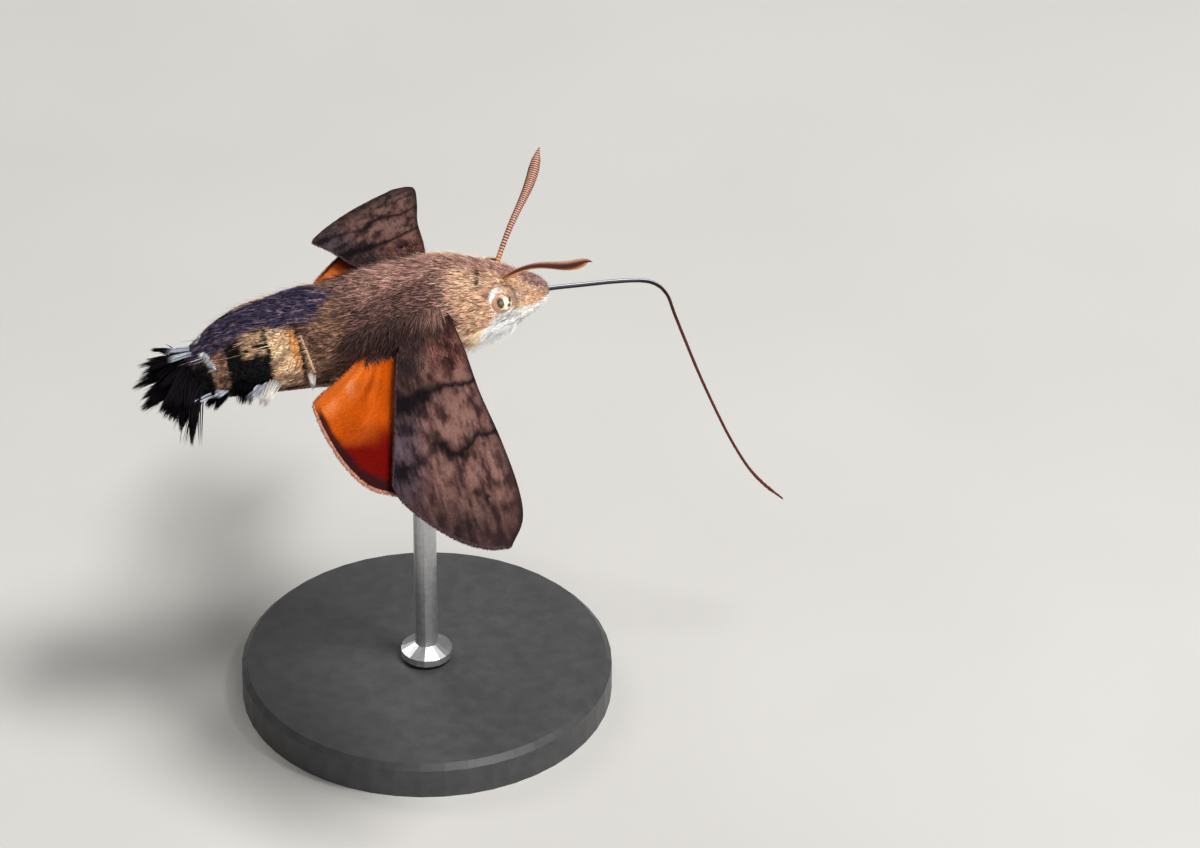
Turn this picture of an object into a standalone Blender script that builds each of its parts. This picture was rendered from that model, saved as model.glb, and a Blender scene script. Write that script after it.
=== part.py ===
"""Hummingbird hawk moth, life size, hovering on a plain display stand.

The moth is described in its own directions, in millimetres from the middle of its thorax:
forward along the body, left, and up through the back. The whole animal is then pitched nose
up and set over the stand. World axes: +X is where the moth faces, +Y is its left, +Z is up,
and the origin is the centre of the underside of the base, on the floor.
"""

import math
import random

import bpy
import bmesh
from mathutils import Matrix, Vector

MM = 0.001

# Gap between neighbouring pieces
GAP = 0.3

# Pose
PITCH = math.radians(6.2)
FLIGHT_HEIGHT = 32.0
ROD_FORWARD = -1.0

# Body profile, coat included: forward place, middle height, half width, half height
BODY_STATIONS = (
    (8.15, -0.93, 0.66, 0.66),
    (7.60, -0.84, 1.10, 1.12),
    (6.60, -0.74, 1.62, 1.72),
    (5.40, -0.62, 2.15, 2.37),
    (4.40, -0.52, 2.50, 2.87),
    (3.40, -0.38, 2.72, 3.14),
    (2.50, -0.24, 3.05, 3.42),
    (0.80, 0.08, 3.40, 3.50),
    (-1.50, 0.12, 3.55, 3.55),
    (-4.10, 0.02, 3.60, 3.43),
    (-6.30, -0.20, 3.62, 3.28),
    (-8.40, -0.14, 3.80, 3.32),
    (-10.50, -0.21, 3.90, 3.18),
    (-12.70, -0.24, 3.70, 2.93),
    (-14.60, -0.55, 3.20, 2.55),
    (-15.80, -0.86, 2.72, 2.12),
    (-16.60, -1.10, 2.40, 1.80),
)
NECK = 3.40
WAIST = -5.90
TAIL_ROOT = -16.30
BODY_SIDES = 24
HEAD_STEPS = 9
THORAX_STEPS = 12
ABDOMEN_STEPS = 14

# Tail fan: a short core, and tiers of locks that spread from it and droop to their tips
FAN_CORE_LENGTH = 1.7
FAN_CORE_FLARE = 0.5
FAN_CORE_CLOSE = 0.35
FAN_CORE_FLATTEN = 0.62
FAN_CORE_SECTIONS = (0.0, 0.4, 0.8, 1.0)
FAN_ROOT_DEPTH = 0.5
FAN_LENGTH = 4.0
FAN_SPREAD = math.radians(66.0)
FAN_ROOT_SPREAD = 0.62
FAN_SLOPE = -0.22
FAN_BEND = -0.45
FAN_BEND_REACH = 0.4
FAN_TIER_LIFT = 0.10
FAN_TIER_DROOP = 0.12
FAN_TILT = 0.25
FAN_ROOT_DOME = 0.5
FAN_SHARE_CHANCE = 0.04
FAN_LENGTH_CHANCE = (0.92, 1.03)
FAN_SLOPE_CHANCE = 0.03
FAN_LOCK_WIDTH = 1.05
FAN_LOCK_THICKNESS = 0.42
FAN_TIERS = ((0.55, 9, 0.90), (0.0, 10, 1.0), (-0.55, 9, 0.93))

# Side tufts of the abdomen: forward place, number of locks, length and width
TUFTS = ((-9.2, 3, 1.6, 0.80), (-11.7, 4, 3.0, 1.10), (-13.4, 3, 2.3, 1.05), (-14.8, 3, 2.0, 0.90))
TUFT_RISE = -0.30
TUFT_DEPTH = 0.7
TUFT_THICKNESS = 0.45
TUFT_REACH = (-0.62, 0.78, -0.10)
TUFT_BEND = (-0.55, -0.10, -0.12)
TUFT_BEND_REACH = 0.35
TUFT_FLAT = (1.0, 0.35, 0.25)
TUFT_LENGTH_CHANCE = (0.88, 1.0)

# How the locks of one tuft step apart: where they root, and which way they reach
TUFT_ROOT_STEP = (0.40, 0.25)
TUFT_REACH_STEP = (-0.16, 0.0, 0.20)

# Locks: width and thickness along one, as shares of the fullest
LOCK_SHAPE = ((0.0, 0.80, 1.0), (0.45, 1.0, 0.95), (0.75, 0.86, 0.70), (1.0, 0.16, 0.30))
SEED = 4

# Head fittings
EYE_PLACE = (4.53, 1.55, 0.30)
EYE_RADIUS = 1.05
PALP_BACK = 3.95
PALP_BACK_HEIGHT = -2.60
PALP_FRONT_HEIGHT = -0.72
PALP_CUT_FRONT = 10.0
PALP_CUT_FLOOR = -6.0
PALP_CUT_SIDE = 5.0
ANTENNA_ROOT = (5.20, 1.10)
ANTENNA_LIFT = 0.39
ANTENNA_REACH = (4.75, 6.00, 4.05)
ANTENNA_RADII = ((0.0, 0.25), (0.15, 0.27), (0.45, 0.33), (0.70, 0.43), (0.82, 0.46), (0.92, 0.36),
                 (0.98, 0.20), (1.0, 0.10))
ANTENNA_STEPS = 16

# The antenna bows forward and up over its length, and waves up near its root and down near its tip
ANTENNA_BOW = (0.31, 0.0, 0.23)
ANTENNA_WAVE = (0.0, 0.0, 0.29)

# Proboscis, in the moth's middle plane: forward and up, from the snout to the tip
PROBOSCIS_ROUTE = (
    (8.50, -0.90),
    (10.6, -1.20),
    (12.9, -1.55),
    (14.8, -2.00),
    (15.8, -2.65),
    (16.4, -3.70),
    (16.7, -5.20),
    (17.2, -7.50),
    (17.9, -10.6),
    (18.7, -13.7),
    (19.6, -16.8),
    (20.6, -19.5),
    (21.6, -21.3),
    (22.8, -22.9),
)
PROBOSCIS_RADIUS = 0.25
PROBOSCIS_TAPER = 0.6
PROBOSCIS_TIP_RADIUS = 0.14
PROBOSCIS_STEPS = 42

# Wings, in one plane for each side: outward from the root and forward. Each side's plane has its
# droop to the tip, its sweep forward, and its twist, which lifts the front edge over the rear one.
# The hindwings lie a step below it, and the left one is turned forward, further under its forewing.
WING_ROOT = (-0.50, 3.35, 1.00)
WING_DROOP = {"right": math.radians(17.0), "left": math.radians(15.0)}
WING_SWEEP = {"right": 0.0, "left": math.radians(5.0)}
WING_TWIST = {"right": 0.0, "left": math.radians(14.0)}
HIND_TURN = {"right": 0.0, "left": math.radians(28.0)}
HIND_DROP = 1.0
ROOT_OUTWARD = 0.9
HINGE = {"fore": -0.55, "hind": -3.65}
WING_REACH = 20.0
WING_THICKNESS = 0.5
WING_EDGE = 0.26
WING_CAMBER = 0.35
WING_TIP_FALL = 0.9
VEIN_HEIGHT = 0.14
VEIN_HALF_WIDTH = 0.022
WING_ROWS = {"fore": 11, "hind": 9}
END_STEPS = 40

# The slot for a wing in the thorax reaches this far outward, and widens to the rear on its way
SLOT_REACH = 3.0
SLOT_FLARE = 0.8

# Veins, from the rear edge (0) to the front edge (1), with where along the wing each starts
VEINS = {
    "fore": ((0.11, 0.0), (0.25, 0.35), (0.37, 0.30), (0.49, 0.45), (0.61, 0.50), (0.73, 0.0), (0.86, 0.0)),
    "hind": ((0.14, 0.0), (0.33, 0.0), (0.52, 0.35), (0.70, 0.35), (0.87, 0.0)),
}
VEIN_RISE = 0.12
OUTLINES = {
    "fore": {
        "front": ((0.9, 1.25), (4.0, 1.45), (8.0, 1.50), (12.0, 1.85), (16.0, 2.00), (18.4, 1.65),
                  (20.1, 0.45)),
        "end": ((13.8, -6.0), (15.1, -5.6), (16.9, -4.45), (18.7, -2.85), (19.8, -1.1), (20.1, 0.45)),
        "rear": ((0.9, -2.35), (3.5, -3.05), (6.5, -3.95), (9.5, -4.75), (11.5, -5.35), (13.8, -6.0)),
    },
    "hind": {
        "front": ((0.9, -2.70), (4.0, -2.30), (7.5, -2.35), (11.2, -3.40), (14.0, -5.6)),
        "end": ((5.1, -9.35), (6.6, -9.3), (8.5, -9.05), (10.7, -8.5), (12.8, -7.4), (14.0, -5.6)),
        "rear": ((0.9, -4.60), (2.3, -5.60), (3.5, -7.10), (4.4, -8.50), (5.1, -9.35)),
    },
}

# Legs, folded against the body: joints of each leg as forward, outward and up, and the radius along it
LEGS = {
    "front": ((1.9, 1.15, -4.15), (1.0, 1.35, -4.38), (0.0, 1.65, -4.40), (-1.0, 1.95, -4.28),
              (-1.9, 2.08, -4.15), (-2.7, 2.10, -4.10)),
    "middle": ((-0.2, 2.75, -3.12), (-1.2, 2.95, -3.30), (-2.4, 2.95, -3.42), (-3.8, 2.78, -3.50),
               (-5.2, 2.50, -3.60), (-6.6, 2.15, -3.72)),
    "hind": ((-3.3, 1.15, -4.20), (-4.4, 1.22, -4.38), (-5.8, 1.15, -4.32), (-7.6, 0.95, -4.25),
             (-9.6, 0.75, -4.20), (-11.8, 0.65, -3.98)),
}
LEG_RADII = ((0.0, 0.44), (0.30, 0.42), (0.45, 0.34), (0.70, 0.30), (1.0, 0.25))
LEG_STEPS = 16

# Display stand
BASE_RADIUS = 13.0
BASE_HEIGHT = 2.6
BASE_BEVEL = 0.4
ROD_RADIUS = 0.8
ROD_FOOT_RADIUS = 1.8
ROD_FOOT_HEIGHT = 1.0
ROD_PAD_RADIUS = 1.15
ROD_PAD_HEIGHT = 1.3
STAND_STEPS = 48
MERGE_DISTANCE = 0.00001
ROD_STEPS = 20

COLOURS = {
    "head": ((0.30, 0.21, 0.14), 0.8),
    "thorax": ((0.24, 0.19, 0.15), 0.9),
    "abdomen": ((0.10, 0.085, 0.08), 0.9),
    "tail_fan": ((0.02, 0.018, 0.018), 0.9),
    "eye": ((0.16, 0.09, 0.05), 0.15),
    "palp": ((0.78, 0.74, 0.68), 0.8),
    "antenna": ((0.16, 0.08, 0.06), 0.6),
    "proboscis": ((0.05, 0.03, 0.03), 0.3),
    "forewing": ((0.17, 0.12, 0.11), 0.8),
    "hindwing": ((0.75, 0.22, 0.03), 0.8),
    "leg": ((0.35, 0.28, 0.22), 0.8),
    "stand_base": ((0.05, 0.05, 0.05), 0.4),
    "stand_rod": ((0.5, 0.5, 0.5), 0.3),
}
METALLIC = {"stand_rod": 0.9}

SIDES = {"left": 1.0, "right": -1.0}


def clear_scene():
    for old in list(bpy.data.objects):
        bpy.data.objects.remove(old, do_unlink=True)


def new_collection(name):
    collection = bpy.data.collections.new(name)
    bpy.context.scene.collection.children.link(collection)
    return collection


def material(kind):
    """Principled material of one kind of piece, made once."""
    found = bpy.data.materials.get(kind)
    if found:
        return found
    colour, roughness = COLOURS[kind]
    made = bpy.data.materials.new(kind)
    made.use_nodes = True
    shader = made.node_tree.nodes["Principled BSDF"]
    shader.inputs["Base Color"].default_value = (*colour, 1.0)
    shader.inputs["Roughness"].default_value = roughness
    shader.inputs["Metallic"].default_value = METALLIC.get(kind, 0.0)
    return made


def add_object(name, data, kind, collection):
    made = bpy.data.objects.new(name, data)
    data.materials.append(material(kind))
    collection.objects.link(made)
    return made


def rod_foot_place():
    """Where the thorax axis sits in the world, so that the rod meets the belly at x = 0."""
    belly = belly_height(ROD_FORWARD)
    return -(ROD_FORWARD * math.cos(PITCH) - belly * math.sin(PITCH))


def world(forward, left, up):
    """A point given in the moth's own millimetres, as world metres."""
    x = forward * math.cos(PITCH) - up * math.sin(PITCH) + rod_foot_place()
    z = forward * math.sin(PITCH) + up * math.cos(PITCH) + FLIGHT_HEIGHT
    return Vector((x, left, z)) * MM


def smooth_value(table, place):
    """Value of a smooth curve through a table of (place, value, ...) rows, rising or falling."""
    rows = sorted(table)
    if place <= rows[0][0]:
        return rows[0][1:]
    if place >= rows[-1][0]:
        return rows[-1][1:]
    index = max(i for i, row in enumerate(rows) if row[0] <= place)
    before = rows[max(index - 1, 0)]
    start, end = rows[index], rows[index + 1]
    after = rows[min(index + 2, len(rows) - 1)]
    span = end[0] - start[0]
    t = (place - start[0]) / span
    values = []
    for column in range(1, len(start)):
        slope_a = (end[column] - before[column]) / max(end[0] - before[0], 1e-9) * span
        slope_b = (after[column] - start[column]) / max(after[0] - start[0], 1e-9) * span
        value = ((2 * t**3 - 3 * t**2 + 1) * start[column] + (t**3 - 2 * t**2 + t) * slope_a
                 + (3 * t**2 - 2 * t**3) * end[column] + (t**3 - t**2) * slope_b)
        values.append(value)
    return tuple(values)


def smooth_path(points, count):
    """Evenly spaced points on a smooth curve through the given ones."""
    dense = []
    lengths = [0.0]
    for a, b in zip(points, points[1:]):
        lengths.append(lengths[-1] + math.dist(a, b))
    table = [(length, *point) for length, point in zip(lengths, points)]
    samples = count * 8
    for i in range(samples + 1):
        dense.append(smooth_value(table, lengths[-1] * i / samples))
    run = [0.0]
    for a, b in zip(dense, dense[1:]):
        run.append(run[-1] + math.dist(a, b))
    path = []
    for i in range(count + 1):
        goal = run[-1] * i / count
        j = min(max(k for k, r in enumerate(run) if r <= goal + 1e-12), len(run) - 2)
        step = (goal - run[j]) / max(run[j + 1] - run[j], 1e-12)
        path.append(tuple(p + (q - p) * step for p, q in zip(dense[j], dense[j + 1])))
    return path


def body_section(place):
    """Middle height, half width and half height of the body at one forward place."""
    return smooth_value(BODY_STATIONS, place)


def belly_height(place):
    middle, _, half_height = body_section(place)
    return middle - half_height


def back_height(place, left):
    middle, half_width, half_height = body_section(place)
    return middle + half_height * math.sqrt(max(1 - (left / half_width) ** 2, 0.0))


def mesh_from(name, verts, faces):
    mesh = bpy.data.meshes.new(name)
    mesh.from_pydata(verts, [], faces)
    shape = bmesh.new()
    shape.from_mesh(mesh)
    bmesh.ops.recalc_face_normals(shape, faces=shape.faces)
    shape.to_mesh(mesh)
    shape.free()
    mesh.shade_smooth()
    return mesh


def lofted_mesh(name, rings):
    """A closed mesh through rings of points, with a flat face at each end."""
    sides = len(rings[0])
    verts = [point for ring in rings for point in ring]
    faces = []
    for row in range(len(rings) - 1):
        for i in range(sides):
            j = (i + 1) % sides
            low, high = row * sides, (row + 1) * sides
            faces.append((low + i, low + j, high + j, high + i))
    faces.append(tuple(range(sides)))
    faces.append(tuple(range(len(verts) - sides, len(verts))))
    return mesh_from(name, verts, faces)


def body_ring(place):
    middle, half_width, half_height = body_section(place)
    ring = []
    for i in range(BODY_SIDES):
        angle = 2 * math.pi * i / BODY_SIDES
        ring.append(world(place, half_width * math.cos(angle), middle + half_height * math.sin(angle)))
    return ring


def body_length(name, front, back, steps):
    """Mesh of one length of the body between two forward places."""
    places = [front + (back - front) * i / steps for i in range(steps + 1)]
    return lofted_mesh(name, [body_ring(place) for place in places])


def as_cutter(name, mesh, cutters):
    made = bpy.data.objects.new(name, mesh)
    made.hide_render = True
    made.display_type = "WIRE"
    cutters.objects.link(made)
    return made


def boolean(target, cutter, operation):
    step = target.modifiers.new(operation.title(), "BOOLEAN")
    step.operation = operation
    step.object = cutter
    return step


def palp_plane_cutter(name, shift, left_range, cutters):
    """A wedge under the slanting plane that parts the palps from the face."""
    back, front = PALP_BACK + shift, PALP_CUT_FRONT
    slope = (PALP_FRONT_HEIGHT - PALP_BACK_HEIGHT) / (BODY_STATIONS[0][0] - PALP_BACK)
    verts = []
    for left in left_range:
        for forward in (back, front):
            top = PALP_BACK_HEIGHT + slope * (forward - PALP_BACK) - shift
            verts.append(world(forward, left, top))
            verts.append(world(forward, left, PALP_CUT_FLOOR))
    faces = ((0, 2, 3, 1), (4, 5, 7, 6), (0, 1, 5, 4), (2, 6, 7, 3), (0, 4, 6, 2), (1, 3, 7, 5))
    return as_cutter(name, mesh_from(name, verts, faces), cutters)


def eye_mesh(name, side, radius):
    mesh = bpy.data.meshes.new(name)
    shape = bmesh.new()
    bmesh.ops.create_uvsphere(shape, u_segments=16, v_segments=10, radius=radius * MM)
    spot = world(EYE_PLACE[0], EYE_PLACE[1] * side, EYE_PLACE[2])
    bmesh.ops.transform(shape, matrix=Matrix.Translation(spot), verts=shape.verts)
    shape.to_mesh(mesh)
    shape.free()
    mesh.shade_smooth()
    return mesh


def make_head(moth, cutters):
    """Head with sockets for the eyes, and the two palps under its slanting face."""
    front, back = BODY_STATIONS[0][0], NECK + GAP / 2
    head = add_object("head", body_length("head", front, back, HEAD_STEPS), "head", moth)
    wedge = palp_plane_cutter("palp_space", 0.0, (-PALP_CUT_SIDE, PALP_CUT_SIDE), cutters)
    boolean(head, wedge, "DIFFERENCE")
    for side_name, side in SIDES.items():
        socket = as_cutter(f"eye_socket_{side_name}", eye_mesh("socket", side, EYE_RADIUS + GAP), cutters)
        boolean(head, socket, "DIFFERENCE")
        eye_name = f"eye_{side_name}"
        add_object(eye_name, eye_mesh(eye_name, side, EYE_RADIUS), "eye", moth)
        palp_name = f"palp_{side_name}"
        palp = add_object(palp_name, body_length(palp_name, front, back, HEAD_STEPS), "palp", moth)
        inner, outer = sorted((side * GAP / 2, side * PALP_CUT_SIDE))
        keep = palp_plane_cutter(f"palp_keep_{side_name}", GAP, (inner, outer), cutters)
        boolean(palp, keep, "INTERSECT")


def make_thorax(moth, cutters):
    """Thorax with a slot at each wing root."""
    trunk = body_length("thorax", NECK - GAP / 2, WAIST + GAP / 2, THORAX_STEPS)
    thorax = add_object("thorax", trunk, "thorax", moth)
    for side_name in SIDES:
        for wing in ("fore", "hind"):
            slot = as_cutter(f"wing_slot_{wing}_{side_name}", wing_slot_mesh(wing, side_name), cutters)
            boolean(thorax, slot, "DIFFERENCE")


def lock_mesh(root, reach, bend, flat, width, thickness):
    """A flat lock: it tapers along its reach, and the bend pulls it over to its tip."""
    along = reach.normalized()
    across = (flat - along * flat.dot(along)).normalized()
    over = along.cross(across)
    rings = []
    for t, width_share, thickness_share in LOCK_SHAPE:
        spot = root + reach * t + bend * t * t
        half_width = across * width * width_share / 2
        half_thickness = over * thickness * thickness_share / 2
        ring = [spot + half_width, spot + half_thickness, spot - half_width, spot - half_thickness]
        rings.append([world(*point) for point in ring])
    return lofted_mesh("lock", rings)


def largest_closed_surface(mesh):
    """Drop every loose scrap and sealed hollow: only the biggest surface stays."""
    shape = bmesh.new()
    shape.from_mesh(mesh)
    bmesh.ops.triangulate(shape, faces=shape.faces)
    waiting = set(shape.faces)
    islands = []
    while waiting:
        front = [waiting.pop()]
        island = list(front)
        while front:
            face = front.pop()
            near = {other for edge in face.edges for other in edge.link_faces if other in waiting}
            waiting -= near
            front.extend(near)
            island.extend(near)
        islands.append(island)
    keep = set(max(islands, key=lambda island: sum(face.calc_area() for face in island)))
    scraps = [face for face in shape.faces if face not in keep]
    bmesh.ops.delete(shape, geom=scraps, context="FACES")
    shape.to_mesh(mesh)
    shape.free()


def fused(name, core, locks, kind, moth, solver="EXACT"):
    """One closed body made of a core and the locks that grow from it."""
    made = add_object(name, core, kind, moth)
    pieces = new_collection(f"{name}_locks")
    for index, lock in enumerate(locks):
        piece = bpy.data.objects.new(f"{name}_lock_{index}", lock)
        pieces.objects.link(piece)
    union = made.modifiers.new("Union", "BOOLEAN")
    union.operation = "UNION"
    union.operand_type = "COLLECTION"
    union.collection = pieces
    union.solver = solver
    bpy.context.view_layer.update()
    result = bpy.data.meshes.new_from_object(made.evaluated_get(bpy.context.evaluated_depsgraph_get()))
    made.modifiers.clear()
    for piece in list(pieces.objects):
        bpy.data.objects.remove(piece, do_unlink=True)
    bpy.data.collections.remove(pieces)
    largest_closed_surface(result)
    result.name = name
    made.data = result
    return made


def make_abdomen(moth):
    """Abdomen with a row of tufts down each side."""
    chance = random.Random(SEED)
    core = body_length("abdomen_core", WAIST - GAP / 2, TAIL_ROOT + GAP / 2, ABDOMEN_STEPS)
    locks = []
    for side in SIDES.values():
        for place, count, length, width in TUFTS:
            middle, half_width, half_height = body_section(place)
            for i in range(count):
                share = i - (count - 1) / 2
                reach = Vector(TUFT_REACH) + Vector(TUFT_REACH_STEP) * share
                reach = reach * length * chance.uniform(*TUFT_LENGTH_CHANCE)
                root = Vector((place + TUFT_ROOT_STEP[0] * share, half_width - TUFT_DEPTH,
                               middle + half_height * TUFT_RISE + TUFT_ROOT_STEP[1] * share))
                bend = Vector(TUFT_BEND) * length * TUFT_BEND_REACH
                flat = Vector(TUFT_FLAT)
                for part in (root, reach, bend, flat):
                    part.y *= side
                locks.append(lock_mesh(root, reach, bend, flat, width, TUFT_THICKNESS))
    fused("abdomen", core, locks, "abdomen", moth)


def make_tail_fan(moth):
    """A short flattening core, and three tiers of overlapping locks out to the tips."""
    chance = random.Random(SEED + 1)
    start = TAIL_ROOT - GAP / 2
    middle, half_width, half_height = body_section(start)
    rings = []
    for t in FAN_CORE_SECTIONS:
        width = half_width * (1 + FAN_CORE_FLARE * t) * (1 - FAN_CORE_CLOSE * t**4)
        height = half_height * (1 - FAN_CORE_FLATTEN * t)
        ring = []
        for i in range(BODY_SIDES // 2):
            angle = 4 * math.pi * i / BODY_SIDES
            ring.append(world(start - FAN_CORE_LENGTH * t, width * math.cos(angle),
                              middle + FAN_SLOPE * FAN_CORE_LENGTH * t + height * math.sin(angle)))
        rings.append(ring)
    core = lofted_mesh("tail_core", rings)
    locks = []
    for height, count, length_share in FAN_TIERS:
        for i in range(count):
            share = 2 * (i + 0.5) / count - 1 + chance.uniform(-FAN_SHARE_CHANCE, FAN_SHARE_CHANCE)
            angle = share * FAN_SPREAD
            length = FAN_LENGTH * length_share * chance.uniform(*FAN_LENGTH_CHANCE)
            root = Vector((start - FAN_ROOT_DEPTH, share * half_width * FAN_ROOT_SPREAD,
                           middle + height * half_height * (1 - FAN_ROOT_DOME * share**2)))
            slope = FAN_SLOPE + FAN_TIER_LIFT * height
            slope += chance.uniform(-FAN_SLOPE_CHANCE, FAN_SLOPE_CHANCE)
            reach = Vector((-math.cos(angle), math.sin(angle), slope)) * length
            droop = Vector((0.0, FAN_TIER_DROOP * share, FAN_BEND - FAN_TIER_DROOP * height))
            bend = droop * length * FAN_BEND_REACH
            flat = Vector((math.sin(angle), math.cos(angle), FAN_TILT * share))
            locks.append(lock_mesh(root, reach, bend, flat, FAN_LOCK_WIDTH, FAN_LOCK_THICKNESS))
    fused("tail_fan", core, locks, "tail_fan", moth, "MANIFOLD")


def tube(name, path, radii, kind, moth):
    """A tube along world points, with its radius in millimetres from a table along it."""
    curve = bpy.data.curves.new(name, "CURVE")
    curve.dimensions = "3D"
    curve.bevel_depth = MM
    curve.bevel_resolution = 2
    curve.use_fill_caps = True
    curve.resolution_u = 1
    spline = curve.splines.new("POLY")
    spline.points.add(len(path) - 1)
    for i, (point, place) in enumerate(zip(spline.points, path)):
        point.co = (*place, 1.0)
        point.radius = smooth_value(radii, i / (len(path) - 1))[0]
    return add_object(name, curve, kind, moth)


def make_antenna(side_name, side, moth):
    """A slender club, a little wavy, from the top of the head."""
    forward, left = ANTENNA_ROOT
    root = Vector((forward, left, back_height(forward, left)))
    reach = Vector(ANTENNA_REACH)
    root = root + reach.normalized() * ANTENNA_LIFT
    path = []
    for i in range(ANTENNA_STEPS + 1):
        t = i / ANTENNA_STEPS
        bow = Vector(ANTENNA_BOW) * math.sin(math.pi * t) + Vector(ANTENNA_WAVE) * math.sin(2 * math.pi * t)
        spot = root + reach * t + bow
        path.append(world(spot.x, spot.y * side, spot.z))
    tube(f"antenna_{side_name}", path, ANTENNA_RADII, "antenna", moth)


def make_proboscis(moth):
    """The long tongue, in three lengths with a small gap between them."""
    route = smooth_path([(f, 0.0, u) for f, u in PROBOSCIS_ROUTE], PROBOSCIS_STEPS)
    names = ("proboscis_base", "proboscis_middle", "proboscis_tip")
    share = PROBOSCIS_STEPS // len(names)
    for index, name in enumerate(names):
        piece = [Vector(world(*p)) for p in route[index * share:(index + 1) * share + 1]]
        if index:
            step = piece[1] - piece[0]
            piece[0] = piece[0] + step.normalized() * GAP * MM
        last = index == len(names) - 1
        end = PROBOSCIS_TIP_RADIUS if last else PROBOSCIS_RADIUS
        radii = ((0.0, PROBOSCIS_RADIUS), (PROBOSCIS_TAPER, PROBOSCIS_RADIUS), (1.0, end))
        tube(name, piece, radii, "proboscis", moth)


def wing_axes(side_name):
    """Outward, forward and upward directions of one side's wing plane, in the moth's directions."""
    side = SIDES[side_name]
    droop, sweep, twist = WING_DROOP[side_name], WING_SWEEP[side_name], WING_TWIST[side_name]
    level_out = Vector((math.sin(sweep), side * math.cos(sweep), 0.0))
    level_chord = Vector((math.cos(sweep), -side * math.sin(sweep), 0.0))
    out = level_out * math.cos(droop) - Vector((0, 0, 1)) * math.sin(droop)
    level_normal = level_chord.cross(out) * side
    chord = level_chord * math.cos(twist) + level_normal * math.sin(twist)
    normal = level_normal * math.cos(twist) - level_chord * math.sin(twist)
    return out, chord, normal


def wing_point(wing, side_name, outward, forward, height):
    """World point of a place on a wing, given in the wing's own outline."""
    out, chord, normal = wing_axes(side_name)
    if wing == "hind":
        turn = HIND_TURN[side_name]
        reach, back = outward - ROOT_OUTWARD, forward - HINGE["hind"]
        outward = ROOT_OUTWARD + reach * math.cos(turn) - back * math.sin(turn)
        forward = HINGE["hind"] + reach * math.sin(turn) + back * math.cos(turn)
        height -= HIND_DROP
    root_forward, root_left, root_up = WING_ROOT
    root = Vector((root_forward + HINGE["fore"], root_left * SIDES[side_name], root_up))
    share = max(outward, 0.0) / WING_REACH
    bend = WING_CAMBER * math.sin(math.pi * min(share, 1.0)) - WING_TIP_FALL * share**3
    spot = root + out * (outward - ROOT_OUTWARD) + chord * (forward - HINGE["fore"])
    return world(*(spot + normal * (height + bend)))


def wing_slot_mesh(wing, side_name):
    """Box round a wing root, a gap larger than the wing, that is cut from the thorax."""
    front = OUTLINES[wing]["front"][0][1]
    rear = OUTLINES[wing]["rear"][0][1]
    half = WING_THICKNESS / 2 + VEIN_HEIGHT + GAP
    corners = []
    for outward in (ROOT_OUTWARD - GAP, ROOT_OUTWARD + SLOT_REACH):
        for forward in (rear - GAP - (outward - ROOT_OUTWARD) * SLOT_FLARE, front + GAP):
            for height in (-half, half):
                corners.append(wing_point(wing, side_name, outward, forward, height))
    faces = ((0, 1, 3, 2), (4, 6, 7, 5), (0, 4, 5, 1), (2, 3, 7, 6), (0, 2, 6, 4), (1, 5, 7, 3))
    return mesh_from("slot", corners, faces)


def wing_grid(wing, spans, chords):
    """Rows of (outward, forward) places inside a wing's outline, from rear edge to front edge."""
    edges = OUTLINES[wing]
    front = smooth_path(edges["front"], spans)
    rear = smooth_path(edges["rear"], spans)
    end = smooth_path(edges["end"], END_STEPS)
    rows = []
    for i in range(spans + 1):
        s = i / spans
        row = []
        for t in chords:
            index = min(int(t * END_STEPS), END_STEPS - 1)
            end_spot, end_next = end[index], end[index + 1]
            part = t * END_STEPS - index
            spot = []
            for k in range(2):
                root = rear[0][k] + (front[0][k] - rear[0][k]) * t
                tip = end_spot[k] + (end_next[k] - end_spot[k]) * part
                along = rear[i][k] + (front[i][k] - rear[i][k]) * t
                corner = ((1 - t) * ((1 - s) * rear[0][k] + s * rear[-1][k])
                          + t * ((1 - s) * front[0][k] + s * front[-1][k]))
                spot.append((1 - s) * root + s * tip + along - corner)
            row.append(tuple(spot))
        rows.append(row)
    return rows


def vein_columns(wing):
    """Chord places of a wing's grid, each with the start of the vein that crests there, if any."""
    columns = [(0.0, None)]
    for place, start in VEINS[wing]:
        columns += [(place - VEIN_HALF_WIDTH, None), (place, start), (place + VEIN_HALF_WIDTH, None)]
    columns.append((1.0, None))
    return columns


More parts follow.
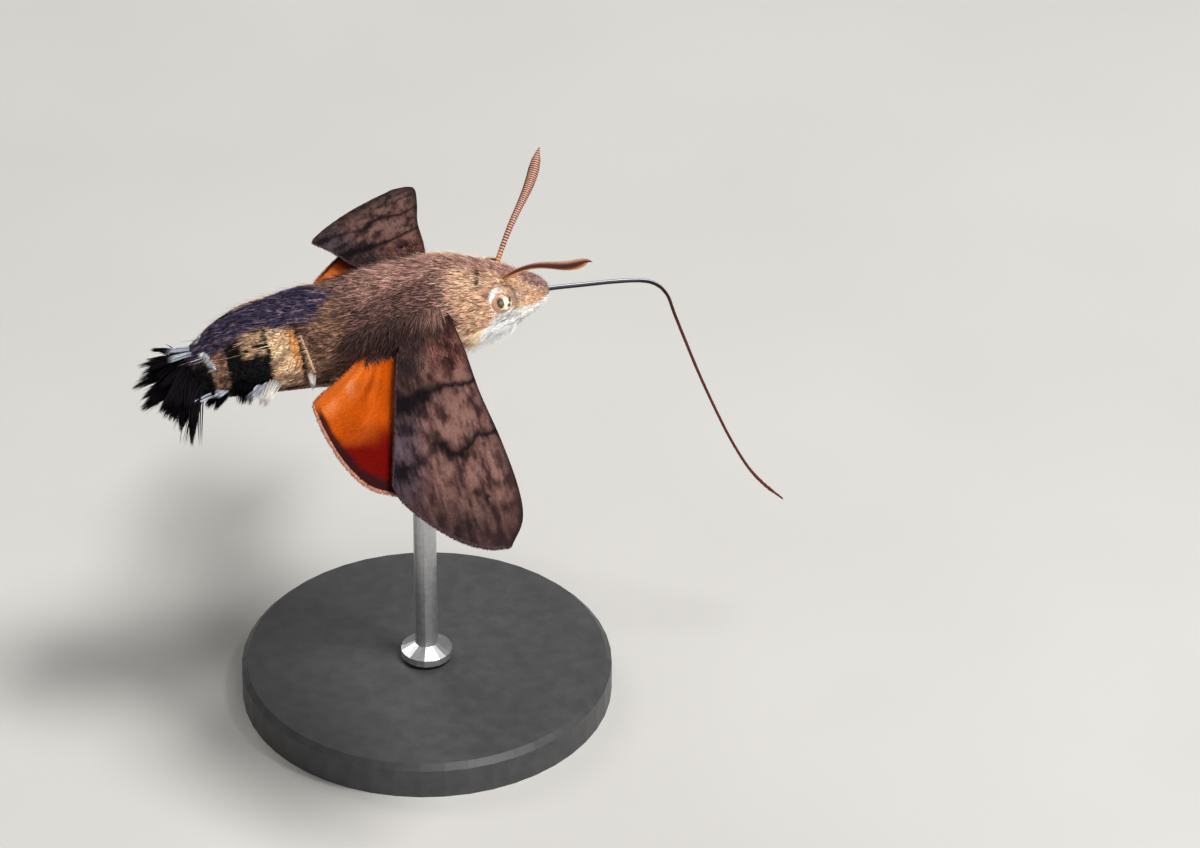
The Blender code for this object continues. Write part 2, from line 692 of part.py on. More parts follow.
def make_wing(wing, side_name, moth):
    """A thin plate with its true outline, thinner at the rim, with its main veins raised on top."""
    columns = vein_columns(wing)
    rows = wing_grid(wing, WING_ROWS[wing], [place for place, _ in columns])
    verts, faces = [], []
    last_row, last_col = len(rows) - 1, len(columns) - 1
    count = (last_row + 1) * (last_col + 1)
    for sign in (1, -1):
        for i, row in enumerate(rows):
            for j, (outward, forward) in enumerate(row):
                rim = i == last_row or j in (0, last_col)
                height = sign * (WING_EDGE if rim else WING_THICKNESS) / 2
                start = columns[j][1]
                if sign > 0 and not rim and start is not None:
                    rise = min(max((i / last_row - start) / VEIN_RISE + (start == 0.0), 0.0), 1.0)
                    height += VEIN_HEIGHT * rise
                verts.append(wing_point(wing, side_name, outward, forward, height))
    width = last_col + 1
    for i in range(last_row):
        for j in range(last_col):
            a, b = i * width + j, i * width + j + 1
            c, d = (i + 1) * width + j + 1, (i + 1) * width + j
            faces.append((a, b, c))
            faces.append((a, c, d))
            faces.append((count + a, count + c, count + b))
            faces.append((count + a, count + d, count + c))
    rim = list(range(width))
    rim += [i * width + last_col for i in range(1, last_row + 1)]
    rim += [last_row * width + j for j in range(last_col - 1, -1, -1)]
    rim += [i * width for i in range(last_row - 1, 0, -1)]
    for a, b in zip(rim, rim[1:] + rim[:1]):
        faces.append((a, b, count + b))
        faces.append((a, count + b, count + a))
    name = f"{wing}wing_{side_name}"
    add_object(name, mesh_from(name, verts, faces), f"{wing}wing", moth)


def make_leg(pair, side_name, side, moth):
    """One leg, folded under the thorax."""
    path = [Vector(world(f, l * side, u)) for f, l, u in smooth_path(LEGS[pair], LEG_STEPS)]
    tube(f"leg_{pair}_{side_name}", path, LEG_RADII, "leg", moth)


def turned(name, profile, steps, kind, moth):
    """A turned piece: its profile, as (radius, height) in millimetres, spun about Z."""
    mesh = bpy.data.meshes.new(name)
    verts = [(radius * MM, 0.0, height * MM) for radius, height in profile]
    mesh.from_pydata(verts, [(i, i + 1) for i in range(len(verts) - 1)], [])
    made = add_object(name, mesh, kind, moth)
    spin = made.modifiers.new("Screw", "SCREW")
    spin.axis = "Z"
    spin.angle = 2 * math.pi
    spin.steps = steps
    spin.render_steps = steps
    spin.use_merge_vertices = True
    spin.merge_threshold = MERGE_DISTANCE
    return made


def make_stand(moth):
    """Flat round base and one rod up to the belly."""
    base_profile = (
        (0.0, BASE_HEIGHT),
        (BASE_RADIUS - BASE_BEVEL, BASE_HEIGHT),
        (BASE_RADIUS, BASE_HEIGHT - BASE_BEVEL),
        (BASE_RADIUS, 0.0),
        (0.0, 0.0),
    )
    turned("stand_base", base_profile, STAND_STEPS, "stand_base", moth)
    foot = BASE_HEIGHT + GAP
    belly = world(ROD_FORWARD, 0.0, belly_height(ROD_FORWARD)).z / MM
    top = belly - GAP - ROD_PAD_RADIUS * math.tan(PITCH)
    rod_profile = (
        (0.0, top),
        (ROD_PAD_RADIUS, top),
        (ROD_RADIUS, top - ROD_PAD_HEIGHT),
        (ROD_RADIUS, foot + ROD_FOOT_HEIGHT),
        (ROD_FOOT_RADIUS, foot + ROD_FOOT_HEIGHT / 2),
        (ROD_FOOT_RADIUS, foot),
        (0.0, foot),
    )
    turned("stand_rod", rod_profile, ROD_STEPS, "stand_rod", moth)


def main():
    clear_scene()
    moth = new_collection("hummingbird_hawk_moth")
    cutters = new_collection("cutters")
    make_head(moth, cutters)
    make_thorax(moth, cutters)
    make_abdomen(moth)
    make_tail_fan(moth)
    make_proboscis(moth)
    for side_name, side in SIDES.items():
        make_antenna(side_name, side, moth)
        make_wing("fore", side_name, moth)
        make_wing("hind", side_name, moth)
        for pair in LEGS:
            make_leg(pair, side_name, side, moth)
    make_stand(moth)


main()
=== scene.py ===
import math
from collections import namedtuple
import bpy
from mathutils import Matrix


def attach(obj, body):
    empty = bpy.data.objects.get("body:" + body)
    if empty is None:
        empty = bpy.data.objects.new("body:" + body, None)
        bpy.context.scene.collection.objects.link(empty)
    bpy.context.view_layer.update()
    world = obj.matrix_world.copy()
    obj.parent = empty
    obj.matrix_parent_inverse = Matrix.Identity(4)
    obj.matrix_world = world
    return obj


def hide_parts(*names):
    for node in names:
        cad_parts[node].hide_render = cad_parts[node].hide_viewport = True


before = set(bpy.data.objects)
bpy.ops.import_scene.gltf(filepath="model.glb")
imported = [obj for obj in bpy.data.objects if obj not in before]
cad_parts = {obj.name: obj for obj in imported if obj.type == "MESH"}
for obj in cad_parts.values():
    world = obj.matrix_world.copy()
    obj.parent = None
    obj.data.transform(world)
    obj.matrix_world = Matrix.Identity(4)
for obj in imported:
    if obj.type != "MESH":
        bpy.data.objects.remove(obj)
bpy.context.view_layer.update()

# Looks of a hummingbird hawk moth, life size, hovering on a plain display stand.
# The moth is described in its own directions, in millimetres from the middle of its thorax:
# forward (f) along the body, left (l), and up (u) through the back.

from types import SimpleNamespace

import bpy
import bmesh
import numpy as np
from mathutils import Vector
from mathutils.kdtree import KDTree

MM = 0.001

# The part's two sides, and which way each one is
SIDES = {"left": 1.0, "right": -1.0}

# Pose on the stand, as the solids have it
PITCH = math.radians(6.2)
FLIGHT_HEIGHT = 32.0
ROD_FORWARD = -1.0

# Camera: viewing angle, distance, width of the view at the moth, and what it aims at, on its
# own right and up from the middle of the thorax
CAMERA_AZIMUTH = math.radians(-14.1)
CAMERA_ELEVATION = math.radians(34.3)
CAMERA_DISTANCE = 0.5
VIEW_WIDTH = 0.0816
AIM_RIGHT = 0.01156
AIM_DOWN = 0.00809
SENSOR = 36.0

# Body profile, coat included: forward place, middle height, half width, half height
BODY_STATIONS = np.array((
    (8.15, -0.93, 0.66, 0.66),
    (7.60, -0.84, 1.10, 1.12),
    (6.60, -0.74, 1.62, 1.72),
    (5.40, -0.62, 2.15, 2.37),
    (4.40, -0.52, 2.50, 2.87),
    (3.40, -0.38, 2.72, 3.14),
    (2.50, -0.24, 3.05, 3.42),
    (0.80, 0.08, 3.40, 3.50),
    (-1.50, 0.12, 3.55, 3.55),
    (-4.10, 0.02, 3.60, 3.43),
    (-6.30, -0.20, 3.62, 3.28),
    (-8.40, -0.14, 3.80, 3.32),
    (-10.50, -0.21, 3.90, 3.18),
    (-12.70, -0.24, 3.70, 2.93),
    (-14.60, -0.55, 3.20, 2.55),
    (-15.80, -0.86, 2.72, 2.12),
    (-16.60, -1.10, 2.40, 1.80),
))[::-1]
SNOUT = 8.15
TAIL_ROOT = -16.6

# Depth of the coat over the skin: forward place and depth
COAT_DEPTH = np.array(((-16.6, 0.26), (-12.0, 0.24), (-6.0, 0.26), (0.0, 0.30), (3.0, 0.30),
                       (5.0, 0.24), (7.0, 0.16), (8.15, 0.12)))

EYE_PLACE = (4.53, 1.62, 0.30)
EYE_RADIUS = 0.98


def linear(r, g, b):
    """A colour given as 0 to 255 screen values, as the linear values that shaders use."""
    values = np.array((r, g, b)) / 255.0
    return np.where(values <= 0.04045, values / 12.92, ((values + 0.055) / 1.055) ** 2.4)


WHITE = linear(255, 247, 238)
BLUISH_WHITE = linear(222, 228, 242)
CREAM = linear(232, 190, 152)
ORANGE_TAN = linear(222, 146, 76)
COLLAR = linear(236, 186, 152)
FACE_TAN = linear(222, 178, 148)
TAN = linear(196, 148, 116)
BACK_BROWN = linear(150, 114, 102)
BACK_ROSE = linear(190, 146, 132)
SIDE_BROWN = linear(102, 74, 68)
DARK_BROWN = linear(60, 42, 40)
BLUE_BLACK = linear(62, 55, 78)
BLACK = linear(10, 8, 11)
SNOUT_GREY = linear(120, 98, 98)
PINK_HIGHLIGHT = linear(176, 140, 140)
WING_PINK = linear(108, 79, 71)
WING_BROWN = linear(66, 44, 41)
WING_DARK = linear(26, 18, 21)
WING_GREY = linear(72, 60, 68)
WING_LINE = linear(11, 8, 11)
ORANGE = linear(160, 64, 3)
YELLOW_ORANGE = linear(190, 98, 34)
DEEP_RED = linear(86, 3, 0)
MARGIN_BROWN = linear(34, 12, 14)
FRINGE_PINK = linear(170, 122, 104)
UNDER_RUST = linear(150, 84, 40)
UNDER_YELLOW = linear(190, 140, 74)
ANTENNA_BROWN = linear(84, 36, 34)
ANTENNA_GOLD = linear(214, 146, 78)
ANTENNA_PALE = linear(190, 146, 120)
TONGUE_BLACK = linear(14, 10, 12)
TONGUE_RED = linear(84, 36, 26)
LEG_BROWN = linear(122, 94, 76)
LEG_PALE = linear(190, 168, 146)


# Geometry of the pose

def section(f):
    """Middle height, half width and half height of the coated body at forward places."""
    f = np.asarray(f, dtype=float)
    xs = BODY_STATIONS[:, 0]
    i = np.clip(np.searchsorted(xs, f) - 1, 0, len(xs) - 2)
    before, after = np.maximum(i - 1, 0), np.minimum(i + 2, len(xs) - 1)
    span = xs[i + 1] - xs[i]
    t = np.clip((f - xs[i]) / span, 0.0, 1.0)
    out = []
    for column in (1, 2, 3):
        ys = BODY_STATIONS[:, column]
        slope_a = (ys[i + 1] - ys[before]) / (xs[i + 1] - xs[before]) * span
        slope_b = (ys[after] - ys[i]) / (xs[after] - xs[i]) * span
        out.append((2 * t**3 - 3 * t**2 + 1) * ys[i] + (t**3 - 2 * t**2 + t) * slope_a
                   + (3 * t**2 - 2 * t**3) * ys[i + 1] + (t**3 - t**2) * slope_b)
    return out


def belly_height(f):
    middle, _, half_height = section(f)
    return float(middle - half_height)


THORAX_X = -(ROD_FORWARD * math.cos(PITCH) - belly_height(ROD_FORWARD) * math.sin(PITCH))


def to_world(points):
    """Moth places in millimetres, as world places in metres."""
    points = np.asarray(points, dtype=float)
    f, l, u = points[..., 0], points[..., 1], points[..., 2]
    x = f * math.cos(PITCH) - u * math.sin(PITCH) + THORAX_X
    z = f * math.sin(PITCH) + u * math.cos(PITCH) + FLIGHT_HEIGHT
    return np.stack((x, l, z), axis=-1) * MM


def unit(vectors):
    return vectors / np.maximum(np.linalg.norm(vectors, axis=-1, keepdims=True), 1e-12)


def smoothstep(low, high, x):
    t = np.clip((np.asarray(x, dtype=float) - low) / (high - low), 0.0, 1.0)
    return t * t * (3 - 2 * t)


def mix(a, b, share):
    share = np.asarray(share)[..., None]
    return a * (1 - share) + b * share


def paint(colour, *layers):
    """A colour with layers laid over it in turn, each a tint and its share."""
    for tint, share in layers:
        colour = mix(colour, tint, share)
    return colour


def bell(x, middle, width):
    """1 in the middle, and softly down to nearly 0 at twice the width."""
    return np.exp(-((x - middle) / width) ** 2)


def band(x, start, full, last_full, end):
    """1 between the two inner values, and softly down to 0 at the outer ones."""
    return smoothstep(start, full, x) * smoothstep(end, last_full, x)


def strong(share, times, most=1.0):
    """A share made stronger, up to a limit."""
    return np.clip(share * times, 0, most)


def column(values):
    """One value for each row, so that it multiplies rows of three."""
    return np.asarray(values)[:, None]


def hair_tones(rng, spread, low, high, count):
    """A random lightness for each hair."""
    return column(np.clip(rng.normal(1.0, spread, count), low, high))


def plane_uv(across, along, size=0.4):
    """Bake places of a small part, from two of its directions."""
    return np.stack((0.5 + across * size, 0.5 + along * size), axis=-1)


# Whole numbers that turn a grid place and a seed into a value that looks random
HASH_PLACE = (374761393, 668265263, 2147483647)
HASH_SEED = 974711
HASH_MIX = 1274126177
HASH_BITS = 0xFFFFFFFF


def value_noise(points, size, seed):
    """Smooth random values, 0 to 1, that change over the given size."""
    grid = np.asarray(points, dtype=float) / size + seed * 17.31
    cell = np.floor(grid).astype(np.int64)
    t = grid - cell
    t = t * t * (3 - 2 * t)

    def corner(dx, dy, dz):
        x, y, z = cell[..., 0] + dx, cell[..., 1] + dy, cell[..., 2] + dz
        h = (x * HASH_PLACE[0] + y * HASH_PLACE[1] + z * HASH_PLACE[2] + seed * HASH_SEED) & HASH_BITS
        h = ((h ^ (h >> 13)) * HASH_MIX) & HASH_BITS
        return ((h ^ (h >> 16)) & 0xFFFF) / 65535.0

    low = [[corner(0, j, k) * (1 - t[..., 0]) + corner(1, j, k) * t[..., 0] for k in (0, 1)] for j in (0, 1)]
    rows = [low[0][k] * (1 - t[..., 1]) + low[1][k] * t[..., 1] for k in (0, 1)]
    return rows[0] * (1 - t[..., 2]) + rows[1] * t[..., 2]


def smooth_path(points, count):
    """Evenly spaced places on a smooth curve through the given ones."""
    points = np.asarray(points, dtype=float)
    padded = np.vstack((2 * points[0] - points[1], points, 2 * points[-1] - points[-2]))
    dense = []
    for i in range(len(points) - 1):
        p0, p1, p2, p3 = padded[i:i + 4]
        for t in np.linspace(0, 1, 24, endpoint=False):
            dense.append(0.5 * (2 * p1 + (p2 - p0) * t + (2 * p0 - 5 * p1 + 4 * p2 - p3) * t**2
                                + (3 * p1 - p0 - 3 * p2 + p3) * t**3))
    dense.append(points[-1])
    dense = np.array(dense)
    run = np.concatenate(([0.0], np.cumsum(np.linalg.norm(np.diff(dense, axis=0), axis=1))))
    goals = np.linspace(0, run[-1], count + 1)
    return np.stack([np.interp(goals, run, dense[:, k]) for k in range(dense.shape[1])], axis=1)


# Meshes and materials

TINT_LAYER = "Tint"


def build_mesh(name, verts, faces, material, colour, uv):
    """A piece from arrays: moth places, faces of one size, and colours and bake places by vertex."""
    faces = np.asarray(faces, dtype=np.int32)
    count, sides = faces.shape
    mesh = bpy.data.meshes.new(name)
    mesh.vertices.add(len(verts))
    mesh.vertices.foreach_set("co", to_world(verts).astype(np.float32).ravel())
    mesh.loops.add(count * sides)
    mesh.loops.foreach_set("vertex_index", faces.ravel())
    mesh.polygons.add(count)
    mesh.polygons.foreach_set("loop_start", np.arange(0, count * sides, sides, dtype=np.int32))
    mesh.update(calc_edges=True)
    mesh.shade_smooth()
    tint = mesh.attributes.new(TINT_LAYER, "FLOAT_COLOR", "POINT")
    rgba = np.concatenate((colour, np.ones((len(verts), 1))), axis=1)
    tint.data.foreach_set("color", np.clip(rgba, 0.0, 1.0).astype(np.float32).ravel())
    bake = mesh.uv_layers.new(name="OFBake")
    bake.data.foreach_set("uv", uv[faces.ravel()].astype(np.float32).ravel())
    mesh.materials.append(material)
    made = bpy.data.objects.new(name, mesh)
    bpy.context.scene.collection.objects.link(made)
    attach(made, "root")
    return made


def ring_faces(rows, sides):
    """Vertex numbers of rings in a row, and the four-sided faces between them."""
    index = np.arange(rows * sides).reshape(rows, sides)
    turned = np.roll(index, -1, axis=1)
    return index, np.stack((index[:-1], turned[:-1], turned[1:], index[1:]), axis=-1).reshape(-1, 4)


def node_material(name, roughness, specular=0.5, metallic=0.0):
    material = bpy.data.materials.new(name)
    material.use_nodes = True
    shader = material.node_tree.nodes["Principled BSDF"]
    shader.inputs["Roughness"].default_value = roughness
    shader.inputs["Metallic"].default_value = metallic
    shader.inputs["Specular IOR Level"].default_value = specular
    return material, material.node_tree, shader


def add_noise(tree, scale, detail=4.0, roughness=0.6):
    place = tree.nodes.new("ShaderNodeTexCoord")
    noise = tree.nodes.new("ShaderNodeTexNoise")
    noise.inputs["Scale"].default_value = scale
    noise.inputs["Detail"].default_value = detail
    noise.inputs["Roughness"].default_value = roughness
    tree.links.new(place.outputs["Object"], noise.inputs["Vector"])
    return noise


def add_cells(tree, scale):
    place = tree.nodes.new("ShaderNodeTexCoord")
    cells = tree.nodes.new("ShaderNodeTexVoronoi")
    cells.inputs["Scale"].default_value = scale
    tree.links.new(place.outputs["Object"], cells.inputs["Vector"])
    return cells


def add_ramp(tree, source, stops):
    ramp = tree.nodes.new("ShaderNodeValToRGB")
    points = ramp.color_ramp.elements
    for spot, colour in zip(points, stops):
        spot.position, spot.color = colour[0], (*colour[1], 1.0)
    for place, colour in stops[2:]:
        extra = points.new(place)
        extra.color = (*colour, 1.0)
    tree.links.new(source, ramp.inputs["Fac"])
    return ramp


def tint_times(tree, source, low, high):
    """The painted tint, made darker and lighter by a texture between two factors."""
    tint = tree.nodes.new("ShaderNodeAttribute")
    tint.attribute_name = TINT_LAYER
    ramp = add_ramp(tree, source, ((0.3, (low,) * 3), (0.7, (high,) * 3)))
    times = tree.nodes.new("ShaderNodeMix")
    times.data_type = "RGBA"
    times.blend_type = "MULTIPLY"
    times.inputs["Factor"].default_value = 1.0
    tree.links.new(tint.outputs["Color"], times.inputs["A"])
    tree.links.new(ramp.outputs["Color"], times.inputs["B"])
    return times.outputs["Result"]


def add_bump(tree, shader, source, strength, distance):
    bump = tree.nodes.new("ShaderNodeBump")
    bump.inputs["Strength"].default_value = strength
    bump.inputs["Distance"].default_value = distance
    tree.links.new(source, bump.inputs["Height"])
    tree.links.new(bump.outputs["Normal"], shader.inputs["Normal"])


def painted_material(name, roughness, specular, scale, detail, low, high, grain=0.6):
    """The painted tint, made darker and lighter by a fine noise between two factors."""
    material, tree, shader = node_material(name, roughness, specular)
    noise = add_noise(tree, scale, detail, grain)
    tree.links.new(tint_times(tree, noise.outputs["Fac"], low, high), shader.inputs["Base Color"])
    return material, tree, shader, noise


def coat_material(name, roughness=0.6, specular=0.12):
    return painted_material(name, roughness, specular, 5200.0, 3.0, 0.78, 1.18)[0]


def skin_material(name):
    # The skin's markings are darkened to between a quarter and a half: painted shade under the coat.
    material, tree, shader, noise = painted_material(name, 0.8, 0.15, 3800.0, 5.0, 0.25, 0.55)
    add_bump(tree, shader, noise.outputs["Fac"], 0.6, 0.0001)
    return material


def wing_material(name):
    material, tree, shader, _ = painted_material(name, 0.75, 0.03, 6500.0, 4.0, 0.70, 1.22, 0.7)
    add_bump(tree, shader, add_cells(tree, 9000.0).outputs["Distance"], 0.35, 0.00004)
    return material


def speckled_material(name, roughness, scale, detail, dark, light, specular=0.5, metallic=0.0):
    """A plain finish between a darker and a lighter colour."""
    material, tree, shader = node_material(name, roughness, specular, metallic)
    noise = add_noise(tree, scale, detail)
    ramp = add_ramp(tree, noise.outputs["Fac"], ((0.3, dark), (0.7, light)))
    tree.links.new(ramp.outputs["Color"], shader.inputs["Base Color"])
    return material, tree, shader, noise


# Tufts

# Rings of a tuft: place along it, share of its width, and share of its ridge
TUFT_RINGS = {
    "short": ((0.0, 1.0, 1.0), (0.55, 0.85, 0.8)),
    "long": ((0.0, 0.8, 1.0), (0.35, 1.0, 0.9), (0.70, 0.75, 0.6)),
}
TUFT_RIDGE = 0.28
# Painted highlight: the raised middle of every tuft is made this much lighter than its edges.
RIDGE_HIGHLIGHT = 1.06
PIECE_TRIANGLES = 190000

# Half width and length of a tuft in the unwrap
TUFT_UV = (0.0012, 0.003)


def tufts(name, roots, lies, normals, lengths, widths, lifts, droops, colours, material, uv,
          kind="short", tip_light=1.25, root_shade=0.55):
    """Flat tapering tufts, joined into pieces of a limited size. Each root, lie and colour is a row."""
    rings = TUFT_RINGS[kind]
    total = len(roots)
    lies, normals, colours = unit(lies), unit(normals), np.clip(colours, 0, 1)
    across = unit(np.cross(normals, lies))
    lengths, widths, lifts, droops = (column(v + np.zeros(total)) for v in (lengths, widths, lifts, droops))
    patch_half, patch_length = TUFT_UV
    verts, shades, patch = [], [], []
    for t, width_share, ridge_share in rings:
        centre = (roots + lies * lengths * t * np.cos(lifts)
                  + normals * lengths * (np.sin(lifts) * t - droops * t**2))
        half = across * widths * width_share / 2
        ridge = normals * widths * TUFT_RIDGE * ridge_share
        verts += [centre - half, centre + ridge, centre + half]
        # Painted shade between the hairs: colours darken towards the root by the root factor, and lighten to
        # a paler tip.
        root_shade_to_tip = root_shade + (tip_light - root_shade) * t
        shades += [colours * root_shade_to_tip, colours * (root_shade_to_tip * RIDGE_HIGHLIGHT), colours * root_shade_to_tip]
        patch += [(across_uv, patch_length * t) for across_uv in (-patch_half, 0.0, patch_half)]
    tip = roots + lies * lengths * np.cos(lifts) + normals * lengths * (np.sin(lifts) - droops)
    verts = np.stack(verts + [tip], axis=1)
    shades = np.stack(shades + [colours * tip_light], axis=1)
    uvs = uv[:, None, :] + np.array(patch + [(0.0, patch_length)])[None]
    per = verts.shape[1]
    faces = [(0, 2, 1)]
    for a in range(0, per - 4, 3):
        for i, j in ((0, 1), (1, 2), (2, 0)):
            faces += [(a + i, a + j, a + 3 + j), (a + i, a + 3 + j, a + 3 + i)]
    a = per - 4
    faces += [(a, a + 1, per - 1), (a + 1, a + 2, per - 1), (a + 2, a, per - 1)]
    faces = np.array(faces)[:, ::-1]
    parts = max(1, math.ceil(total * len(faces) / PIECE_TRIANGLES))
    made = []
    for part, rows in enumerate(np.array_split(np.arange(total), parts)):
        joined = (faces[None] + (np.arange(len(rows)) * per)[:, None, None]).reshape(-1, 3)
        label = name if parts == 1 else f"{name}_{part + 1}"
        made.append(build_mesh(label, verts[rows].reshape(-1, 3), joined, material,
                               shades[rows].reshape(-1, 3), uvs[rows].reshape(-1, 2)))
    return made


# Body skin

def skin_point(f, angle, lift=0.0):
    """Places on the skin: forward place, angle round the body (0 left, a quarter turn top)."""
    middle, half_width, half_height = section(f)
    depth = np.interp(f, COAT_DEPTH[:, 0], COAT_DEPTH[:, 1]) - lift
    return np.stack((np.asarray(f) + np.zeros_like(angle), (half_width - depth) * np.cos(angle),
                     middle + (half_height - depth) * np.sin(angle)), axis=-1)


def skin_frame(f, angle):
    """Skin places with their outward normals, backward directions and directions round the body."""
    step = 0.02
    spot = skin_point(f, angle)
    along = skin_point(f - step, angle) - skin_point(f + step, angle)
    around = skin_point(f, angle + step) - skin_point(f, angle - step)
    normal = unit(np.cross(around, along))
    outward = spot - np.stack((f, np.zeros_like(f), section(f)[0]), axis=-1)
    flip = np.sign(np.sum(normal * outward, axis=-1, keepdims=True))
    return spot, normal * np.where(flip == 0, 1, flip), unit(along), unit(around)


def rise_of(angle):
    """Height round the body as an angle: -90 belly, 0 side, 90 back, alike on both sides."""
    return np.degrees(np.arctan2(np.sin(angle), np.abs(np.cos(angle))))


# Marks that lean: forward place, the rise it is at, and how far back it goes for each degree of rise
CREAM_LINE = (-9.26, 14, 0.0092)
WHITE_STRIP = (-15.92, 60, 0.012)
NECK_DASHES = (1.85, -14, 0.012)
BRISTLES = (3.22, 60, -0.017)

# Edges that follow the body: forward places, and the rise at each
WHITE_EDGE = ((-6.5, 0.0, 2.2, 3.0, 3.35, 3.8, 4.8, 6.4, 7.0, 7.5, 8.15),
              (-75, -64, -58, -42, -14, -2, 2, 3, -4, 0, 10))
BLUE_EDGE = ((6.0, 7.0, 8.0, 9.0, 11.0, 11.9, 13.4, 14.6, 16.6), (88, 77, 56, 48, 50, 62, 64, 52, 50))
BROW_LINE = ((4.4, 5.2, 5.8), (44, 40, 27))

# Rings of the abdomen's underside
RING_START = -9.3
RING_LENGTH = 1.85


def lean_place(line, rise):
    """Forward place of a leaning mark at a rise."""
    place, middle_rise, lean = line
    return place - (rise - middle_rise) * lean


def thorax_marks(at):
    """Pale golden collar and shoulders, darker sides and rear, darkest above the wing roots."""
    near_wing = bell(at.ragged, -2.8, 2.9) * bell(at.rise, 8, 17.0)
    return (
        (SIDE_BROWN, smoothstep(74, 50, at.ragged_rise) * smoothstep(1.3, -0.9, at.ragged) * 0.88),
        (SIDE_BROWN, smoothstep(-3.0, -6.0, at.ragged) * 0.6),
        (COLLAR, smoothstep(0.1, 1.8, at.ragged) * smoothstep(84, 52, at.ragged_rise)
         * (0.5 + 0.5 * at.mottle)),
        (DARK_BROWN, strong(near_wing, 1.1)),
    )


def head_marks(at):
    """Tan face, greyer snout with an orange patch, cream cheek, black bristles and a white brow."""
    snout_top = smoothstep(5.9, 6.6, at.ragged) * smoothstep(30, 56, at.ragged_rise)
    bristle = bell(at.f, lean_place(BRISTLES, at.rise), 0.15) * np.exp(-((at.rise - 62) / 15.0) ** 4)
    brow = bell(at.rise, np.interp(at.f, *BROW_LINE), 4.0) * band(at.f, 4.2, 4.5, 5.7, 6.1)
    return (
        (FACE_TAN, smoothstep(3.6, 4.8, at.ragged) * smoothstep(78, 40, at.ragged_rise) * 0.9),
        (mix(SNOUT_GREY, BACK_ROSE, smoothstep(0.35, 0.7, at.streaks)), snout_top * 0.85),
        (ORANGE_TAN, bell(at.ragged, 7.2, 0.45) * bell(at.rise, 20, 12.0) * 0.35),
        (SNOUT_GREY, smoothstep(6.3, 7.0, at.ragged) * smoothstep(6, 26, at.ragged_rise) * 0.4),
        (CREAM, strong(bell(at.f, 5.9, 0.55) * bell(at.rise, 8, 9.0), 1.2, 0.85)),
        (BLACK, strong(bristle, 1.3, 0.95)),
        (WHITE, brow * 0.75),
    )


def throat_marks(at):
    """Brown dashes low on the neck, behind the white of belly, throat and palps."""
    dashes = bell(at.f, lean_place(NECK_DASHES, at.rise), 0.22) * band(at.rise, -44, -36, -4, 6)
    throat = smoothstep(3, -6, at.rise - np.interp(at.f, *WHITE_EDGE) + at.wobble * 10)
    return (
        (SIDE_BROWN, dashes * smoothstep(0.3, 0.55, at.streaks) * 0.9),
        (WHITE, throat * smoothstep(-7.5, -5.5, at.f)),
    )


def abdomen_marks(at):
    """Bluish black above with pink painted highlights, brown sides in front, black behind."""
    low_edge = np.interp(-at.f, *BLUE_EDGE)
    above = smoothstep(-10, 10, at.ragged_rise - low_edge) * smoothstep(-4.9, -7.2, at.ragged)
    behind = smoothstep(-9.35, -9.6, at.ragged)
    side_brown = smoothstep(-5.5, -6.5, at.ragged) * (1 - behind) * (1 - above)
    # Painted highlights: short pink streaks on the bluish black hair above.
    fleck_and_highlight = smoothstep(0.64, 0.80, value_noise(at.spots * (0.3, 1.0, 1.0), 0.16, 14))
    return (
        (mix(DARK_BROWN, TAN, at.streaks * 0.6), side_brown * 0.85),
        (BLACK, behind * (1 - above)),
        (BLUE_BLACK, above),
        (PINK_HIGHLIGHT, fleck_and_highlight * above * 0.5),
    )


def side_marks(at):
    """Cream line and patch, cream streaks, tan patch and white strip down each side."""
    line = bell(at.f, lean_place(CREAM_LINE, at.rise), 0.10) * band(at.rise, -14, -6, 34, 40)
    patch = smoothstep(-9.62, -9.72, at.f) * smoothstep(-11.8, -11.62, at.f + at.fine * 0.3)
    patch_top = 44 + (-9.7 - at.f) * 6
    patch = patch * smoothstep(-30, -18, at.rise + at.wobble * 10)
    patch = patch * smoothstep(5, -4, at.rise - patch_top + at.wobble * 14)
    gold = smoothstep(-10.7, -9.9, at.f) * smoothstep(-14, 20, at.rise)
    low_stripes = smoothstep(6, -10, at.rise) * smoothstep(0.35, 0.6, at.streaks)
    patch_colour = paint(mix(CREAM, ORANGE_TAN, gold * 0.85),
                         (DARK_BROWN, bell(at.f, -11.45, 0.22) * bell(at.rise, 13, 4.5) * 0.8),
                         (SIDE_BROWN, low_stripes * 0.7))
    streak = band(at.f, -13.7, -13.3, -11.95, -11.75) * band(at.rise, 22, 30, 54, 64)
    streak = streak * smoothstep(0.3, 0.5, value_noise(at.spots * (0.25, 1.0, 1.0), 0.20, 12))
    late = band(at.f, -15.75, -15.55, -14.7, -14.5) * band(at.rise, -12, -2, 46, 54)
    late_colour = mix(SIDE_BROWN, TAN * 0.8, smoothstep(0.35, 0.65, at.mottle * 0.5 + at.streaks * 0.5))
    strip = bell(at.f, lean_place(WHITE_STRIP, at.rise), 0.13) * band(at.rise, 28, 36, 64, 72)
    return (
        (CREAM, strong(line, 1.3, 0.95)),
        (patch_colour, np.clip(patch, 0, 1) * 0.96),
        (CREAM, streak * 0.6),
        (late_colour, late * 0.9),
        (WHITE, strong(strip, 1.4, 0.95)),
    )


def under_marks(at):
    """Underside of the abdomen: dark brown with pale edges of its rings."""
    rings = 0.5 + 0.5 * np.cos(2 * math.pi * (at.f - RING_START) / RING_LENGTH)
    under = smoothstep(-20, -45, at.rise) * smoothstep(-5.5, -7.5, at.f)
    return ((mix(DARK_BROWN, BACK_BROWN, smoothstep(0.75, 1.0, rings)), under),)


